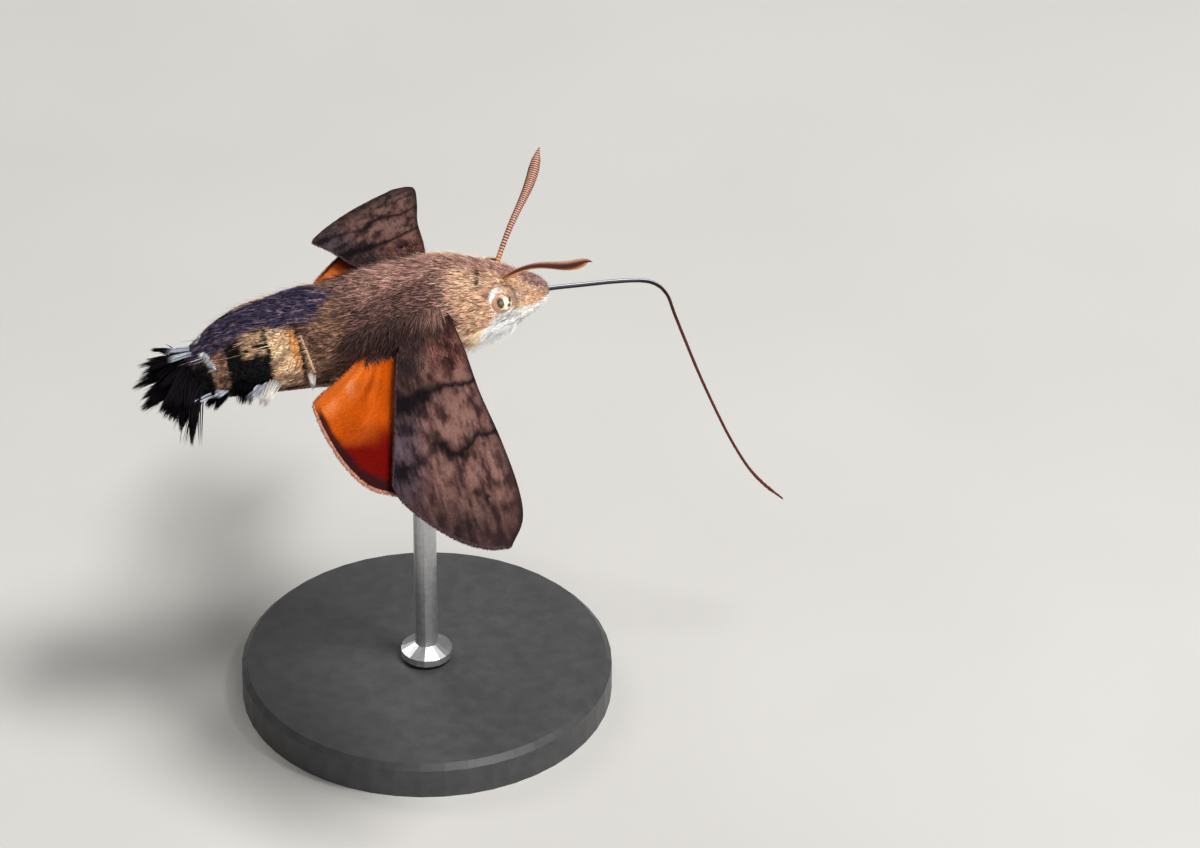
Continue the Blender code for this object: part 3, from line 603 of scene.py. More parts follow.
def body_colour(spots, f, angle):
    """Markings of the body, alike for skin and coat, with places that noise makes ragged."""
    rise = rise_of(angle)
    wobble = value_noise(spots, 1.1, 3) - 0.5
    fine = value_noise(spots, 0.28, 5) - 0.5
    at = SimpleNamespace(
        spots=spots, f=f, rise=rise, wobble=wobble, fine=fine,
        ragged=f + wobble * 0.5 + fine * 0.25,
        ragged_rise=rise + wobble * 22 + fine * 10,
        mottle=value_noise(spots, 0.45, 8),
        streaks=value_noise(spots * (0.35, 1.0, 1.0), 0.20, 9),
    )
    colour = mix(BACK_BROWN, BACK_ROSE, smoothstep(0.2, 0.8, at.mottle * 0.5 + at.streaks * 0.5))
    for marks in (thorax_marks, head_marks, throat_marks, abdomen_marks, side_marks, under_marks):
        colour = paint(colour, *marks(at))
    return colour


def body_uv(f, angle):
    """Unwrap of the body: round it and along it."""
    return np.stack((0.02 + 0.96 * ((angle / (2 * math.pi)) % 1.0),
                     0.02 + 0.96 * (f - TAIL_ROOT) / (SNOUT - TAIL_ROOT)), axis=-1)


SKIN_ROWS = 200
SKIN_SIDES = 96
SKIN_END = TAIL_ROOT - 0.9


def make_skin():
    """One skin from snout to tail, drawn in behind the tail's root."""
    f = np.linspace(SNOUT, SKIN_END, SKIN_ROWS)
    angle = np.linspace(0, 2 * math.pi, SKIN_SIDES, endpoint=False)
    ff, aa = np.meshgrid(f, angle, indexing="ij")
    close = smoothstep(SKIN_END, TAIL_ROOT, ff)[..., None]
    middle = np.stack((ff, np.zeros_like(ff), section(ff)[0]), axis=-1)
    verts = (middle + (skin_point(ff, aa) - middle) * (0.35 + 0.65 * close)).reshape(-1, 3)
    index, quads = ring_faces(SKIN_ROWS, SKIN_SIDES)
    caps = []
    for ring, turn in ((index[0], 1), (index[-1], -1)):
        for i in range(0, SKIN_SIDES - 2, 2):
            caps.append((ring[0], ring[i + 1], ring[i + 2], ring[(i + 3) % SKIN_SIDES])[::turn])
    faces = np.concatenate((quads[:, (0, 3, 2, 1)], np.array(caps)[:-1]))
    ff, aa = ff.ravel(), aa.ravel()
    made = build_mesh("body_skin", verts, faces, skin_material("skin"), body_colour(verts, ff, aa),
                      body_uv(ff, aa))
    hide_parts("head", "thorax", "abdomen", "palp_left", "palp_right", "tail_fan")


def scatter(rng, count, low, high, weight=None, eye_margin=None):
    """Random places on the body, even by area, as forward places and angles, kept clear of the eyes."""
    f = rng.uniform(low, high, count * 3)
    angle = rng.uniform(0, 2 * math.pi, count * 3)
    _, half_width, half_height = section(f)
    around = np.sqrt((half_width * np.sin(angle)) ** 2 + (half_height * np.cos(angle)) ** 2)
    chance = around / 4.0
    if weight is not None:
        chance = chance * weight(f, angle)
    keep = rng.uniform(0, 1, count * 3) < chance
    f, angle = f[keep][:count], angle[keep][:count]
    if eye_margin is not None:
        clear = eye_distance(skin_point(f, angle)) > EYE_RADIUS + eye_margin
        f, angle = f[clear], angle[clear]
    return f, angle


def gather(rng, spot, lie, normal, lengths, size, pull):
    """Tufts leaned towards the tip of a leading tuft nearby, so that they part into small locks."""
    leaders = rng.choice(len(spot), max(2, len(spot) // size), replace=False)
    tree = KDTree(len(leaders))
    for place, row in enumerate(leaders):
        tree.insert(spot[row], place)
    tree.balance()
    lead = leaders[np.array([tree.find(p)[1] for p in spot])]
    goal = spot[lead] + lie[lead] * lengths[lead][:, None]
    toward = goal - spot
    toward = toward - normal * np.sum(toward * normal, axis=1)[:, None]
    return unit(lie * (1 - pull) + unit(toward) * pull), lead


def coat(name, rng, f, angle, length, width, lift, material, forward=False, lock=13, shades=0.2, dark_hair_root_shade=0.35):
    """Tufts over a stretch of body, lying backward, or forward on the face, parted into small locks."""
    spot, normal, back, around = skin_frame(f, angle)
    n = len(f)
    sway = rng.normal(0.0, 0.16, n) + (value_noise(spot, 1.3, 21) - 0.5) * 0.9
    lie = back * column(np.cos(sway)) + around * column(np.sin(sway))
    if forward:
        lie = lie * -1
    lie = unit(lie - normal * column(np.sum(lie * normal, axis=1)))
    lengths = length * rng.uniform(0.6, 1.2, n)
    lie, lead = gather(rng, spot, lie, normal, lengths, lock, 0.55)
    shown = spot + lie * column(lengths) * 0.5
    middle = section(shown[:, 0])[0]
    colour = body_colour(shown, shown[:, 0], np.arctan2(shown[:, 2] - middle, shown[:, 1]))
    shade = rng.normal(1.0, shades, n) * np.clip(rng.normal(1.0, shades, n), 0.5, 1.6)[lead]
    warm = column(rng.normal(0.0, 0.05, n)) * np.array((1.0, 0.2, -1.0))
    colour = np.clip(colour * column(np.clip(shade, 0.3, 1.9)) * (1 + warm), 0, 1)
    lifts = np.clip(lift + rng.normal(0, 0.07, n) + rng.normal(0, 0.07, n)[lead], 0.02, 1.2)
    droops = np.sin(lifts) * rng.uniform(0.2, 0.6, n)
    # Painted shade at the roots: full on dark hair, weaker on pale hair, whose tips are also lightened less.
    bright = column(smoothstep(0.56, 0.80, colour.mean(axis=1)))
    made = tufts(name, spot - normal * 0.04, lie, normal, lengths, width * rng.uniform(0.7, 1.3, n), lifts,
                 droops, colour, material, body_uv(f, angle), root_shade=dark_hair_root_shade + (0.9 - dark_hair_root_shade) * bright,
                 tip_light=1.45 - 0.30 * bright)


def eye_distance(spot):
    """Distance from the middle of the nearer eye."""
    place = np.array(EYE_PLACE)
    mirrored = np.abs(spot * (0, 1, 0)) + spot * (1, 0, 1)
    return np.linalg.norm(mirrored - place, axis=-1)


def make_coat(material):
    rng = np.random.default_rng(11)
    f, angle = scatter(rng, 38000, TAIL_ROOT, -5.2)
    length = np.where(f < -9.2, np.interp(rise_of(angle), (45, 75), (0.48, 0.72)), 0.72)
    coat("coat_abdomen", rng, f, angle, length, 0.062, 0.30, material, lock=9, shades=0.24)
    f, angle = scatter(rng, 50000, -6.2, 4.2)
    coat("coat_thorax", rng, f, angle, 0.90, 0.050, 0.38, material, lock=8, shades=0.32)
    f, angle = scatter(rng, 16000, 3.3, 6.2, eye_margin=0.16)
    coat("coat_head", rng, f, angle, 0.58, 0.042, 0.48, material, lock=8, shades=0.26, dark_hair_root_shade=0.5)
    f, angle = scatter(rng, 14000, 5.0, 8.1, eye_margin=0.10)
    reach = np.interp(f, (5.0, 6.8, 8.1), (0.46, 0.42, 0.26))
    lift = 0.34 + 0.65 * smoothstep(6.2, 7.6, f) * smoothstep(0.1, 0.7, np.sin(angle))
    coat("coat_face", rng, f, angle, reach, 0.040, lift, material, forward=True, lock=7, shades=0.24,
         dark_hair_root_shade=0.55)


def loose_hairs(name, rng, f, angle, length, width, lift, material, light=1.5, lock=0):
    """Long single hairs that stand out from the coat, in its own colours."""
    spot, normal, back, around = skin_frame(f, angle)
    n = len(f)
    turn = column(rng.normal(0.0, 0.25, n))
    lie = back * np.cos(turn) + around * np.sin(turn)
    tints = body_colour(spot, f, angle) * light * hair_tones(rng, 0.25, 0.4, 1.7, n)
    lengths = length * rng.uniform(0.6, 1.2, n)
    if lock:
        lie, _ = gather(rng, spot, lie, normal, lengths, lock, 0.7)
    made = tufts(name, spot, lie, normal, lengths, width, lift * rng.uniform(0.6, 1.3, n),
                 rng.uniform(0.05, 0.2, n), tints, material, body_uv(f, angle), kind="long", root_shade=0.85,
                 tip_light=1.3)


def make_loose_hairs(material):
    """Fine wisps along the tail, the shoulders, the snout and the throat."""
    rng = np.random.default_rng(15)
    f, angle = scatter(rng, 420, TAIL_ROOT, -6.0, lambda f, a: np.sin(a) > 0.6)
    loose_hairs("wisps_abdomen", rng, f, angle, 1.5, 0.028, 0.36, material, 1.3)
    f, angle = scatter(rng, 1300, -6.5, 4.8, lambda f, a: np.sin(a) > -0.5, 0.5)
    loose_hairs("wisps_thorax", rng, f, angle, 1.2, 0.030, 0.5, material, 1.6)
    f, angle = scatter(rng, 900, 5.4, 7.9, lambda f, a: np.sin(a) > 0.2, 0.3)
    loose_hairs("wisps_snout", rng, f, angle, 0.44, 0.030, 0.95, material, 1.3)
    f, angle = scatter(rng, 3400, 1.8, 5.8, lambda f, a: (np.sin(a) < -0.25) & (np.sin(a) > -0.97), 0.45)
    hang = np.interp(np.sin(angle), (-0.9, -0.3), (0.62, 0.36))
    loose_hairs("throat_hairs", rng, f, angle, 1.2, 0.042, hang, material, 1.6, lock=14)


def side_angle(rise, side):
    """Angle round the body of a rise in degrees, on the left or the right side."""
    angle = np.radians(rise)
    return angle if side > 0 else math.pi - angle


def mark_hairs(name, rng, f, rise, material, tint):
    """Short hairs on top of the coat, for the marks with sharp edges, alike on both sides."""
    n = len(f)
    for side_name, side in SIDES.items():
        angle = side_angle(rise, side)
        _, normal, back, around = skin_frame(f, angle)
        lie = back + around * column(rng.normal(0.0, 0.5, n))
        colour = tint * column(rng.uniform(0.45, 1.05, n))
        made = tufts(f"{name}_{side_name}", skin_point(f, angle, 0.10), lie, normal,
                     rng.uniform(0.12, 0.22, n), 0.032, rng.uniform(0.1, 0.3, n), 0.1, colour, material,
                     body_uv(f, angle), root_shade=0.8, tip_light=1.1)


MARK_HAIRS = 300


def make_side_marks(material):
    """The cream line in front of the cream patch, and the white strip over the tail."""
    rng = np.random.default_rng(17)
    rise = rng.uniform(-12, 38, MARK_HAIRS)
    place = lean_place(CREAM_LINE, rise) + 0.10 + rng.normal(0, 0.022, MARK_HAIRS)
    mark_hairs("cream_line", rng, place, rise, material, CREAM * 0.9)
    rise = rng.uniform(32, 68, MARK_HAIRS)
    place = lean_place(WHITE_STRIP, rise) + 0.16 + rng.normal(0, 0.05, MARK_HAIRS)
    mark_hairs("white_strip", rng, place, rise, material, BLUISH_WHITE * 0.75)


# Eyes

EYE_TAN = linear(188, 142, 116)
EYE_CREAM = linear(244, 228, 196)
EYE_BROWN = linear(92, 56, 42)
EYE_DARK = linear(48, 20, 16)
EYE_BLACK = linear(16, 15, 8)
EYE_OLIVE_REFLECTION = linear(84, 84, 34)

# Ovals on the eye, in degrees from its pupil: ahead, up, half width, half height, colour and share
EYE_LIGHTS = ((21, -4, 13, 27, EYE_CREAM, 1.0), (12, -32, 15, 8, EYE_CREAM, 0.8))
# The last dark oval is an olive painted reflection in the lower middle of the pupil.
EYE_DARKS = ((-7, 8, 12, 18, EYE_BROWN, 0.55), (42, 6, 6.5, 13, EYE_DARK, 1.0),
             (34, -16, 8, 9, EYE_DARK, 1.0), (6, -38, 9, 5, EYE_DARK, 0.8),
             (0, 0, 14.5, 21, EYE_BLACK, 1.0), (0, -3, 7, 9, EYE_OLIVE_REFLECTION, 0.9))

# Which way the left eye's pupil and its ring face
PUPIL_FACES = (-0.085, 0.955, 0.284)
RING_FACES = (0.05, 0.99, 0.12)


def eye_middle(side):
    return np.array(EYE_PLACE) * (1, side, 1)


def make_eye(side_name, side):
    """An eyeball with a black pupil, a tan and cream field and dark flecks in front."""
    bm = bmesh.new()
    bmesh.ops.create_uvsphere(bm, u_segments=64, v_segments=40, radius=EYE_RADIUS)
    verts = np.array([v.co[:] for v in bm.verts])
    faces = [[v.index for v in face.verts] for face in bm.faces]
    bm.free()
    triangles = [(face[0], face[i], face[i + 1]) for face in faces for i in range(1, len(face) - 1)]
    out = verts / EYE_RADIUS
    pupil = unit(np.array(PUPIL_FACES) * (1, side, 1))
    up = unit(np.cross(np.cross(pupil, (0.0, 0.0, 1.0)), pupil))
    ahead = np.cross(up, pupil) * -side
    tall, wide = np.degrees(np.arcsin(out @ up)), np.degrees(np.arcsin(out @ ahead))
    off = np.degrees(np.arccos(np.clip(out @ pupil, -1, 1)))

    def ovals(marks):
        layers = []
        for middle_wide, middle_tall, half_wide, half_tall, tint, share in marks:
            reach = np.sqrt(((wide - middle_wide) / half_wide) ** 2 + ((tall - middle_tall) / half_tall) ** 2)
            layers.append((tint, smoothstep(1.15, 0.85, reach) * share))
        return layers

    colour = paint(EYE_TAN, *ovals(EYE_LIGHTS), (EYE_CREAM * 0.8, smoothstep(24, 38, wide) * 0.7),
                   (EYE_BROWN, smoothstep(54, 62, off) * 0.8), *ovals(EYE_DARKS))
    colour = np.where(column(out @ pupil > 0), colour, EYE_BROWN)
    material, tree, shader = node_material(f"eye_{side_name}", 0.3)
    facets = add_cells(tree, 16000.0)
    tree.links.new(tint_times(tree, facets.outputs["Distance"], 0.85, 1.1), shader.inputs["Base Color"])
    add_bump(tree, shader, facets.outputs["Distance"], 0.15, 0.00002)
    made = build_mesh(f"eye_ball_{side_name}", verts + eye_middle(side), triangles, material, colour,
                      plane_uv(out[:, 0], out[:, 2], 0.45))
    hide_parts(f"eye_{side_name}")


def make_eye_ring(side_name, side, material):
    """Short pale scales all round the eye, darker at its upper front corner."""
    rng = np.random.default_rng(31 if side > 0 else 32)
    count = 1300
    turn = rng.uniform(0, 2 * math.pi, count)
    axis = unit(np.array(RING_FACES) * (1, side, 1))
    level = unit(np.cross(axis, np.array((0.0, 0.0, 1.0))))
    radial = column(np.cos(turn)) * level + column(np.sin(turn)) * np.cross(axis, level)
    behind = smoothstep(0.2, -0.7, radial[:, 0])
    tilt = column(np.radians(rng.uniform(50, 64, count) - 3 * behind))
    normal = radial * np.sin(tilt) + axis * np.cos(tilt)
    roots = eye_middle(side) + normal * (EYE_RADIUS - 0.02)
    lie = radial * np.cos(tilt) * 1.2 - axis * np.sin(tilt) * 0.25
    lie = lie + np.cross(normal, lie) * column(rng.normal(0.1, 0.3, count))
    front_up = smoothstep(0.1, 0.6, radial[:, 0] * 0.85 + radial[:, 2] * 0.5)
    colour = mix(WHITE, TAN * 0.8, front_up * 0.9) * hair_tones(rng, 0.12, 0.6, 1.3, count)
    made = tufts(f"eye_scales_{side_name}", roots, lie, normal,
                 rng.uniform(0.20, 0.36, count) * (1 + 0.35 * behind), rng.uniform(0.035, 0.06, count),
                 rng.uniform(0.15, 0.45, count), 0.1, colour, material,
                 plane_uv(radial[:, 0], radial[:, 2]), root_shade=0.8, tip_light=1.15)


# Brow over the eye: places on the eyeball as forward and upward shares of its radius as the eye is
# seen from outside and above, and the slope of the hair there in degrees
BROW = np.array(((-0.62, 0.16, 35), (-0.45, 0.34, 20), (-0.18, 0.47, 0), (0.12, 0.50, -18),
                 (0.40, 0.44, -30), (0.62, 0.32, -38)))
BROW_FORWARD = (0.964, 0.244, -0.105)
BROW_UP = (0.226, -0.547, 0.806)


def make_brow(side_name, side, material):
    """Overhanging hair along the eye's upper edge: white behind, a painted shadow in lilac brown above, cream
    in front.
    """
    rng = np.random.default_rng(41 if side > 0 else 42)
    count = 620
    along = rng.uniform(0, 1, count)
    knots = np.arange(len(BROW))
    across, rise, slope = (np.interp(along * knots[-1], knots, values) for values in BROW.T)
    rise = rise + rng.uniform(-0.06, 0.10, count)
    ahead, up = np.array(BROW_FORWARD) * (1, side, 1), np.array(BROW_UP) * (1, side, 1)
    toward = np.cross(ahead, up) * -side
    depth = np.sqrt(np.clip(1 - across**2 - rise**2, 0.02, 1))
    normal = ahead * column(across) + up * column(rise) + toward * column(depth)
    root = eye_middle(side) + normal * (EYE_RADIUS + 0.03)
    turn = column(np.radians(slope + rng.normal(0, 10, count)))
    lie = ahead * np.cos(turn) + up * np.sin(turn)
    lie = lie - normal * column(np.sum(lie * normal, axis=1))
    inner_edge = np.interp(along, (0, 1), (0.2, 0.4))
    # Painted shadow of the brow: lilac brown along the middle of its lower rows of hair over the eye.
    brow_shadow = bell(along, 0.55, 0.16) * smoothstep(0.12, 0.0, rise - inner_edge)
    colour = paint(WHITE * 0.8, (CREAM, smoothstep(0.35, 0.7, along)),
                   (FACE_TAN * 0.8, (rng.uniform(0, 1, count) < 0.35) * 0.9),
                   (SNOUT_GREY * 0.6, brow_shadow),
                   (SIDE_BROWN, (rng.uniform(0, 1, count) < 0.25) * smoothstep(0.6, 0.8, along)))
    colour = colour * hair_tones(rng, 0.15, 0.5, 1.3, count)
    made = tufts(f"brow_{side_name}", root, lie, normal, rng.uniform(0.28, 0.55, count),
                 rng.uniform(0.035, 0.055, count), rng.uniform(0.1, 0.4, count), 0.15, colour, material,
                 plane_uv(across, rise), root_shade=0.7, tip_light=1.2)


# Wings

# Each side's wings lie in one plane, the hindwings a step lower and the left one turned forward
WING_ROOT = (-0.50, 3.35, 1.00)
WING_DROOP = {"right": math.radians(17.0), "left": math.radians(15.0)}
WING_SWEEP = {"right": 0.0, "left": math.radians(5.0)}
WING_TWIST = {"right": 0.0, "left": math.radians(14.0)}
HIND_TURN = {"right": 0.0, "left": math.radians(28.0)}
HIND_DROP = 0.82
HINGE = {"fore": -0.55, "hind": -3.65}
ROOT_OUTWARD = 0.9
WING_REACH = 20.0
WING_CAMBER = 0.35
WING_TIP_FALL = 0.9
WING_THICKNESS = 0.10
OUTLINES = {
    "fore": {
        "front": ((-0.6, 1.10), (0.9, 1.25), (4.0, 1.45), (8.0, 1.50), (12.0, 1.85), (16.0, 2.00),
                  (18.4, 1.65), (20.1, 0.45)),
        "end": ((13.8, -6.0), (15.1, -5.6), (16.9, -4.45), (18.7, -2.85), (19.8, -1.1), (20.1, 0.45)),
        "rear": ((-0.6, -2.1), (0.9, -2.35), (3.5, -3.05), (6.5, -3.95), (9.5, -4.75), (11.5, -5.35),
                 (13.8, -6.0)),
    },
    "hind": {
        "front": ((-0.6, -2.75), (0.9, -2.70), (4.0, -2.30), (7.5, -2.35), (11.2, -3.40), (14.0, -5.6)),
        "end": ((5.1, -9.35), (6.6, -9.3), (8.5, -9.05), (10.7, -8.5), (12.8, -7.4), (14.0, -5.6)),
        "rear": ((-0.6, -4.2), (0.9, -4.60), (2.3, -5.60), (3.5, -7.10), (4.4, -8.50), (5.1, -9.35)),
    },
}


def wing_place(wing, side_name, outward, forward, height):
    """Moth places of spots on a wing, given in its own outline."""
    side = SIDES[side_name]
    droop, sweep, twist = WING_DROOP[side_name], WING_SWEEP[side_name], WING_TWIST[side_name]
    level_out = np.array((math.sin(sweep), side * math.cos(sweep), 0.0))
    level_chord = np.array((math.cos(sweep), -side * math.sin(sweep), 0.0))
    out = level_out * math.cos(droop) - np.array((0, 0, 1.0)) * math.sin(droop)
    level_normal = np.cross(level_chord, out) * side
    chord = level_chord * math.cos(twist) + level_normal * math.sin(twist)
    normal = level_normal * math.cos(twist) - level_chord * math.sin(twist)
    outward, forward, height = (np.asarray(v, dtype=float) for v in (outward, forward, height))
    if wing == "hind":
        turn = HIND_TURN[side_name]
        reach, back = outward - ROOT_OUTWARD, forward - HINGE["hind"]
        outward = ROOT_OUTWARD + reach * math.cos(turn) - back * math.sin(turn)
        forward = HINGE["hind"] + reach * math.sin(turn) + back * math.cos(turn)
        height = height - HIND_DROP
    share = np.maximum(outward, 0.0) / WING_REACH
    bend = WING_CAMBER * np.sin(math.pi * np.minimum(share, 1.0)) - WING_TIP_FALL * share**3
    root = np.array((WING_ROOT[0] + HINGE["fore"], WING_ROOT[1] * side, WING_ROOT[2]))
    return root + out * (outward - ROOT_OUTWARD)[..., None] + chord * (forward - HINGE["fore"])[..., None] \
        + normal * (height + bend)[..., None]


def wing_grid(wing, spans, chords):
    """Outward and forward places inside a wing's outline, from root to end and rear to front."""
    edges = OUTLINES[wing]
    front, rear = smooth_path(edges["front"], spans), smooth_path(edges["rear"], spans)
    end = smooth_path(edges["end"], chords)
    s = np.linspace(0, 1, spans + 1)[:, None, None]
    t = np.linspace(0, 1, chords + 1)[None, :, None]
    root = rear[0] + (front[0] - rear[0]) * t
    along = rear[:, None] + (front[:, None] - rear[:, None]) * t
    corners = (1 - t) * ((1 - s) * rear[0] + s * rear[-1]) + t * ((1 - s) * front[0] + s * front[-1])
    return (1 - s) * root + s * end[None] + along - corners


# Veins: place across the wing from rear to front, and how far out each one starts
VEINS = {
    "fore": ((0.11, 0.0), (0.25, 0.35), (0.37, 0.30), (0.49, 0.45), (0.61, 0.50), (0.73, 0.0), (0.86, 0.0)),
    "hind": ((0.14, 0.0), (0.33, 0.0), (0.52, 0.35), (0.70, 0.35), (0.87, 0.0)),
}

# Dark lines across the forewing, as forward and outward places, and its dark and pale spots, each as
# outward and forward place, half sizes and, for the dark ones, strength
ANTEMEDIAN = ((1.9, 6.95), (1.29, 6.9), (-0.2, 6.75), (-1.5, 6.85), (-2.6, 7.3), (-4.0, 7.6), (-5.5, 8.0))
POSTMEDIAN = ((2.2, 11.35), (1.8, 11.38), (1.03, 11.35), (0.4, 11.5), (-0.2, 11.85), (-1.2, 12.5),
              (-1.8, 11.85), (-2.4, 11.35), (-3.4, 12.3), (-4.4, 12.7), (-5.5, 13.1), (-6.8, 13.3))
FOREWING_SPOTS = (
    ((15.75, -0.80), (0.45, 0.24), 0.9), ((16.5, -0.15), (0.42, 0.24), 0.9),
    ((4.62, 0.0), (0.36, 0.30), 0.85), ((5.46, 0.30), (0.26, 0.24), 0.7), ((2.95, 0.2), (0.24, 0.24), 0.6),
    ((13.7, 1.3), (0.55, 0.26), 0.6), ((9.9, -4.1), (0.9, 0.50), 0.75), ((12.9, -5.0), (0.7, 0.6), 0.8),
    ((17.8, -2.2), (0.7, 0.5), 0.4), ((7.5, -3.5), (0.9, 0.9), 0.95), ((7.2, -2.3), (0.7, 0.6), 0.9),
    ((5.6, -3.2), (0.9, 0.5), 0.6), ((12.0, -2.1), (0.55, 0.45), 0.6),
)
FOREWING_LIGHTS = (
    ((9.0, -0.3), (1.2, 0.9)), ((6.1, 0.75), (0.7, 0.4)), ((2.6, 0.3), (0.9, 0.5)),
    ((10.2, 0.5), (1.0, 0.6)), ((14.4, -0.3), (1.3, 0.7)), ((10.1, -1.3), (0.9, 0.6)),
    ((14.2, 0.9), (1.2, 0.4)), ((16.9, -1.6), (1.0, 0.6)), ((13.6, -2.6), (1.2, 0.5)),
)


def line_offset(line, outward, forward):
    """How far outward a spot is from a line given as forward and outward places."""
    path = smooth_path(line, 120)
    order = np.argsort(path[:, 0])
    return outward - np.interp(forward, path[order, 0], path[order, 1])


def spot_mask(outward, forward, place, radii):
    return bell(outward, place[0], radii[0]) * bell(forward, place[1], radii[1])


def flat_places(outward, forward):
    return np.stack((outward, forward, np.zeros_like(outward)), axis=-1)


def forewing_colour(outward, forward, chord):
    """Brown mottled with pink, darker at base, front edge and margin, greyer behind, with its lines; the dark
    at the rear of the base is partly painted shade.
    """
    flat = flat_places(outward, forward)
    cloud = value_noise(flat, 0.9, 41)
    fleck_and_highlight = value_noise(flat * (0.5, 1.3, 1.0), 0.48, 42)
    dash = value_noise(flat * (0.3, 1.5, 1.0), 0.24, 44)
    fine = value_noise(flat * (0.45, 1.2, 1.0), 0.13, 45)
    ragged = outward + (value_noise(flat, 0.5, 43) - 0.5) * 0.8 + (dash - 0.5) * 0.5
    grain = fleck_and_highlight * 0.36 + dash * 0.34 + fine * 0.18 + cloud * 0.12
    light = np.max([spot_mask(outward, forward, *spot) for spot in FOREWING_LIGHTS], axis=0)
    colour = mix(WING_BROWN, WING_PINK, smoothstep(0.34, 0.76, grain + (light - 0.25) * 0.18))
    colour = mix(colour, WING_DARK, smoothstep(0.48, 0.28, grain) * 0.7)
    red_base = smoothstep(7.0, 4.5, outward) * smoothstep(0.3, 0.6, chord)
    colour = colour * (1 + red_base[..., None] * np.array((0.08, -0.16, -0.22)))
    rear_grey = mix(WING_DARK, WING_GREY, smoothstep(0.3, 0.6, grain))
    colour = paint(
        colour,
        (rear_grey, smoothstep(0.40, 0.12, chord) * smoothstep(7.5, 9.5, outward) * 0.85),
        # Darker over the inner rear half: the dark base, and painted shade where it meets the hindwing.
        (WING_DARK, smoothstep(6.8, 4.5, ragged) * smoothstep(0.5, 0.2, chord) * 0.85),
        (WING_DARK, smoothstep(2.6, 0.6, outward) * 0.6),
        (WING_DARK, smoothstep(0.955, 0.985, chord) * 0.8),
        (WING_DARK, smoothstep(16.2, 19.6, outward + (1 - chord) * 4.6) * 0.6),
    )
    first = line_offset(ANTEMEDIAN, ragged * 0.6 + outward * 0.4, forward)
    first_width = np.interp(forward, (-4.0, -2.4, -1.2, 1.3), (1.25, 1.05, 0.42, 0.24))
    second = line_offset(POSTMEDIAN, ragged, forward)
    second_width = np.interp(forward, (-5.5, -3.0, -1.4, 0.5, 1.6), (0.75, 0.50, 0.58, 0.42, 0.30))
    strength = np.interp(forward, (-5.5, -4.4, -3.2, -2.2, 2.0), (0.85, 0.85, 0.6, 0.95, 0.95))
    spots = [(WING_LINE, strong(spot_mask(ragged, forward, place, radii), 1.25) * share)
             for place, radii, share in FOREWING_SPOTS]
    return paint(colour, (WING_LINE, bell(first, 0, first_width) * 0.95),
                 (WING_LINE, bell(second, 0, second_width) * strength), *spots)


# Painted highlights as pale streaks, and the painted shade of a fold, on the hindwing: outward and forward
# place, and half sizes
HINDWING_HIGHLIGHTS = (((5.0, -8.4), (0.9, 0.5)), ((4.0, -6.7), (0.9, 0.35)))
HINDWING_FOLD_SHADE = ((4.6, -5.4), (1.6, 0.9))


def hindwing_colour(outward, forward, chord, span):
    """Orange, red further out, with a brown margin and a dark base, painted highlights as pale streaks, and a
    painted fold shadow.
    """
    cloud = value_noise(flat_places(outward, forward), 1.1, 51)
    ray = value_noise(np.stack((span * 2.0, chord * 14.0, np.zeros_like(span)), axis=-1), 1.0, 52)
    # Painted highlights along some rays, and the painted shade of a fold in the wing.
    pale = sum(spot_mask(outward, forward, place, radii) for place, radii in HINDWING_HIGHLIGHTS)
    fold_shade = spot_mask(outward, forward, *HINDWING_FOLD_SHADE) * smoothstep(0.6, 0.4, ray)
    edge = span + (cloud - 0.5) * 0.02
    colour = paint(
        mix(ORANGE, YELLOW_ORANGE, smoothstep(0.35, 0.0, chord) * 0.6 + smoothstep(0.5, 0.8, ray) * 0.3),
        (ORANGE * 0.62, smoothstep(0.2, 0.8, cloud) * 0.35 + smoothstep(0.4, 0.2, ray) * 0.3),
        # Pale painted highlights.
        (CREAM * 0.6, np.clip(pale, 0, 1) * smoothstep(0.4, 0.65, ray) * 0.3),
    )
    return paint(
        # Painted shadow of the fold.
        colour * (1 - 0.35 * fold_shade)[..., None],
        (DEEP_RED, smoothstep(7.0, 10.1, outward + (cloud - 0.5) * 1.2 + (ray - 0.5) * 0.8)),
        (MARGIN_BROWN, smoothstep(12.0, 14.0, outward) * 0.7),
        (MARGIN_BROWN, smoothstep(0.925, 0.965, edge) * smoothstep(0.02, 0.14, chord) * 0.95),
        (MARGIN_BROWN, smoothstep(0.90, 0.97, chord) * 0.5),
        (WING_DARK, smoothstep(3.0, 0.4, outward + (ray - 0.5) * 1.2) * 0.85),
    )


def under_colour(wing, outward, forward, chord, span):
    """Underside: rusty orange, brown at the outer end, yellowish at the hindwing's inner edge."""
    if wing == "hind":
        colour = mix(UNDER_RUST, UNDER_YELLOW, smoothstep(0.5, 0.1, chord) * 0.8)
    else:
        cloud = value_noise(flat_places(outward, forward), 0.9, 61)
        colour = UNDER_RUST * (0.85 + 0.2 * cloud[..., None])
    return mix(colour, WING_BROWN, smoothstep(0.74, 0.95, span) * 0.85)


# Steps of each wing's grid from root to end and from rear to front, and its fringe: seed and count
WING_GRID = {"fore": (190, 90), "hind": (130, 80)}
FRINGE = {"fore": (71, 1700), "hind": (75, 1500)}


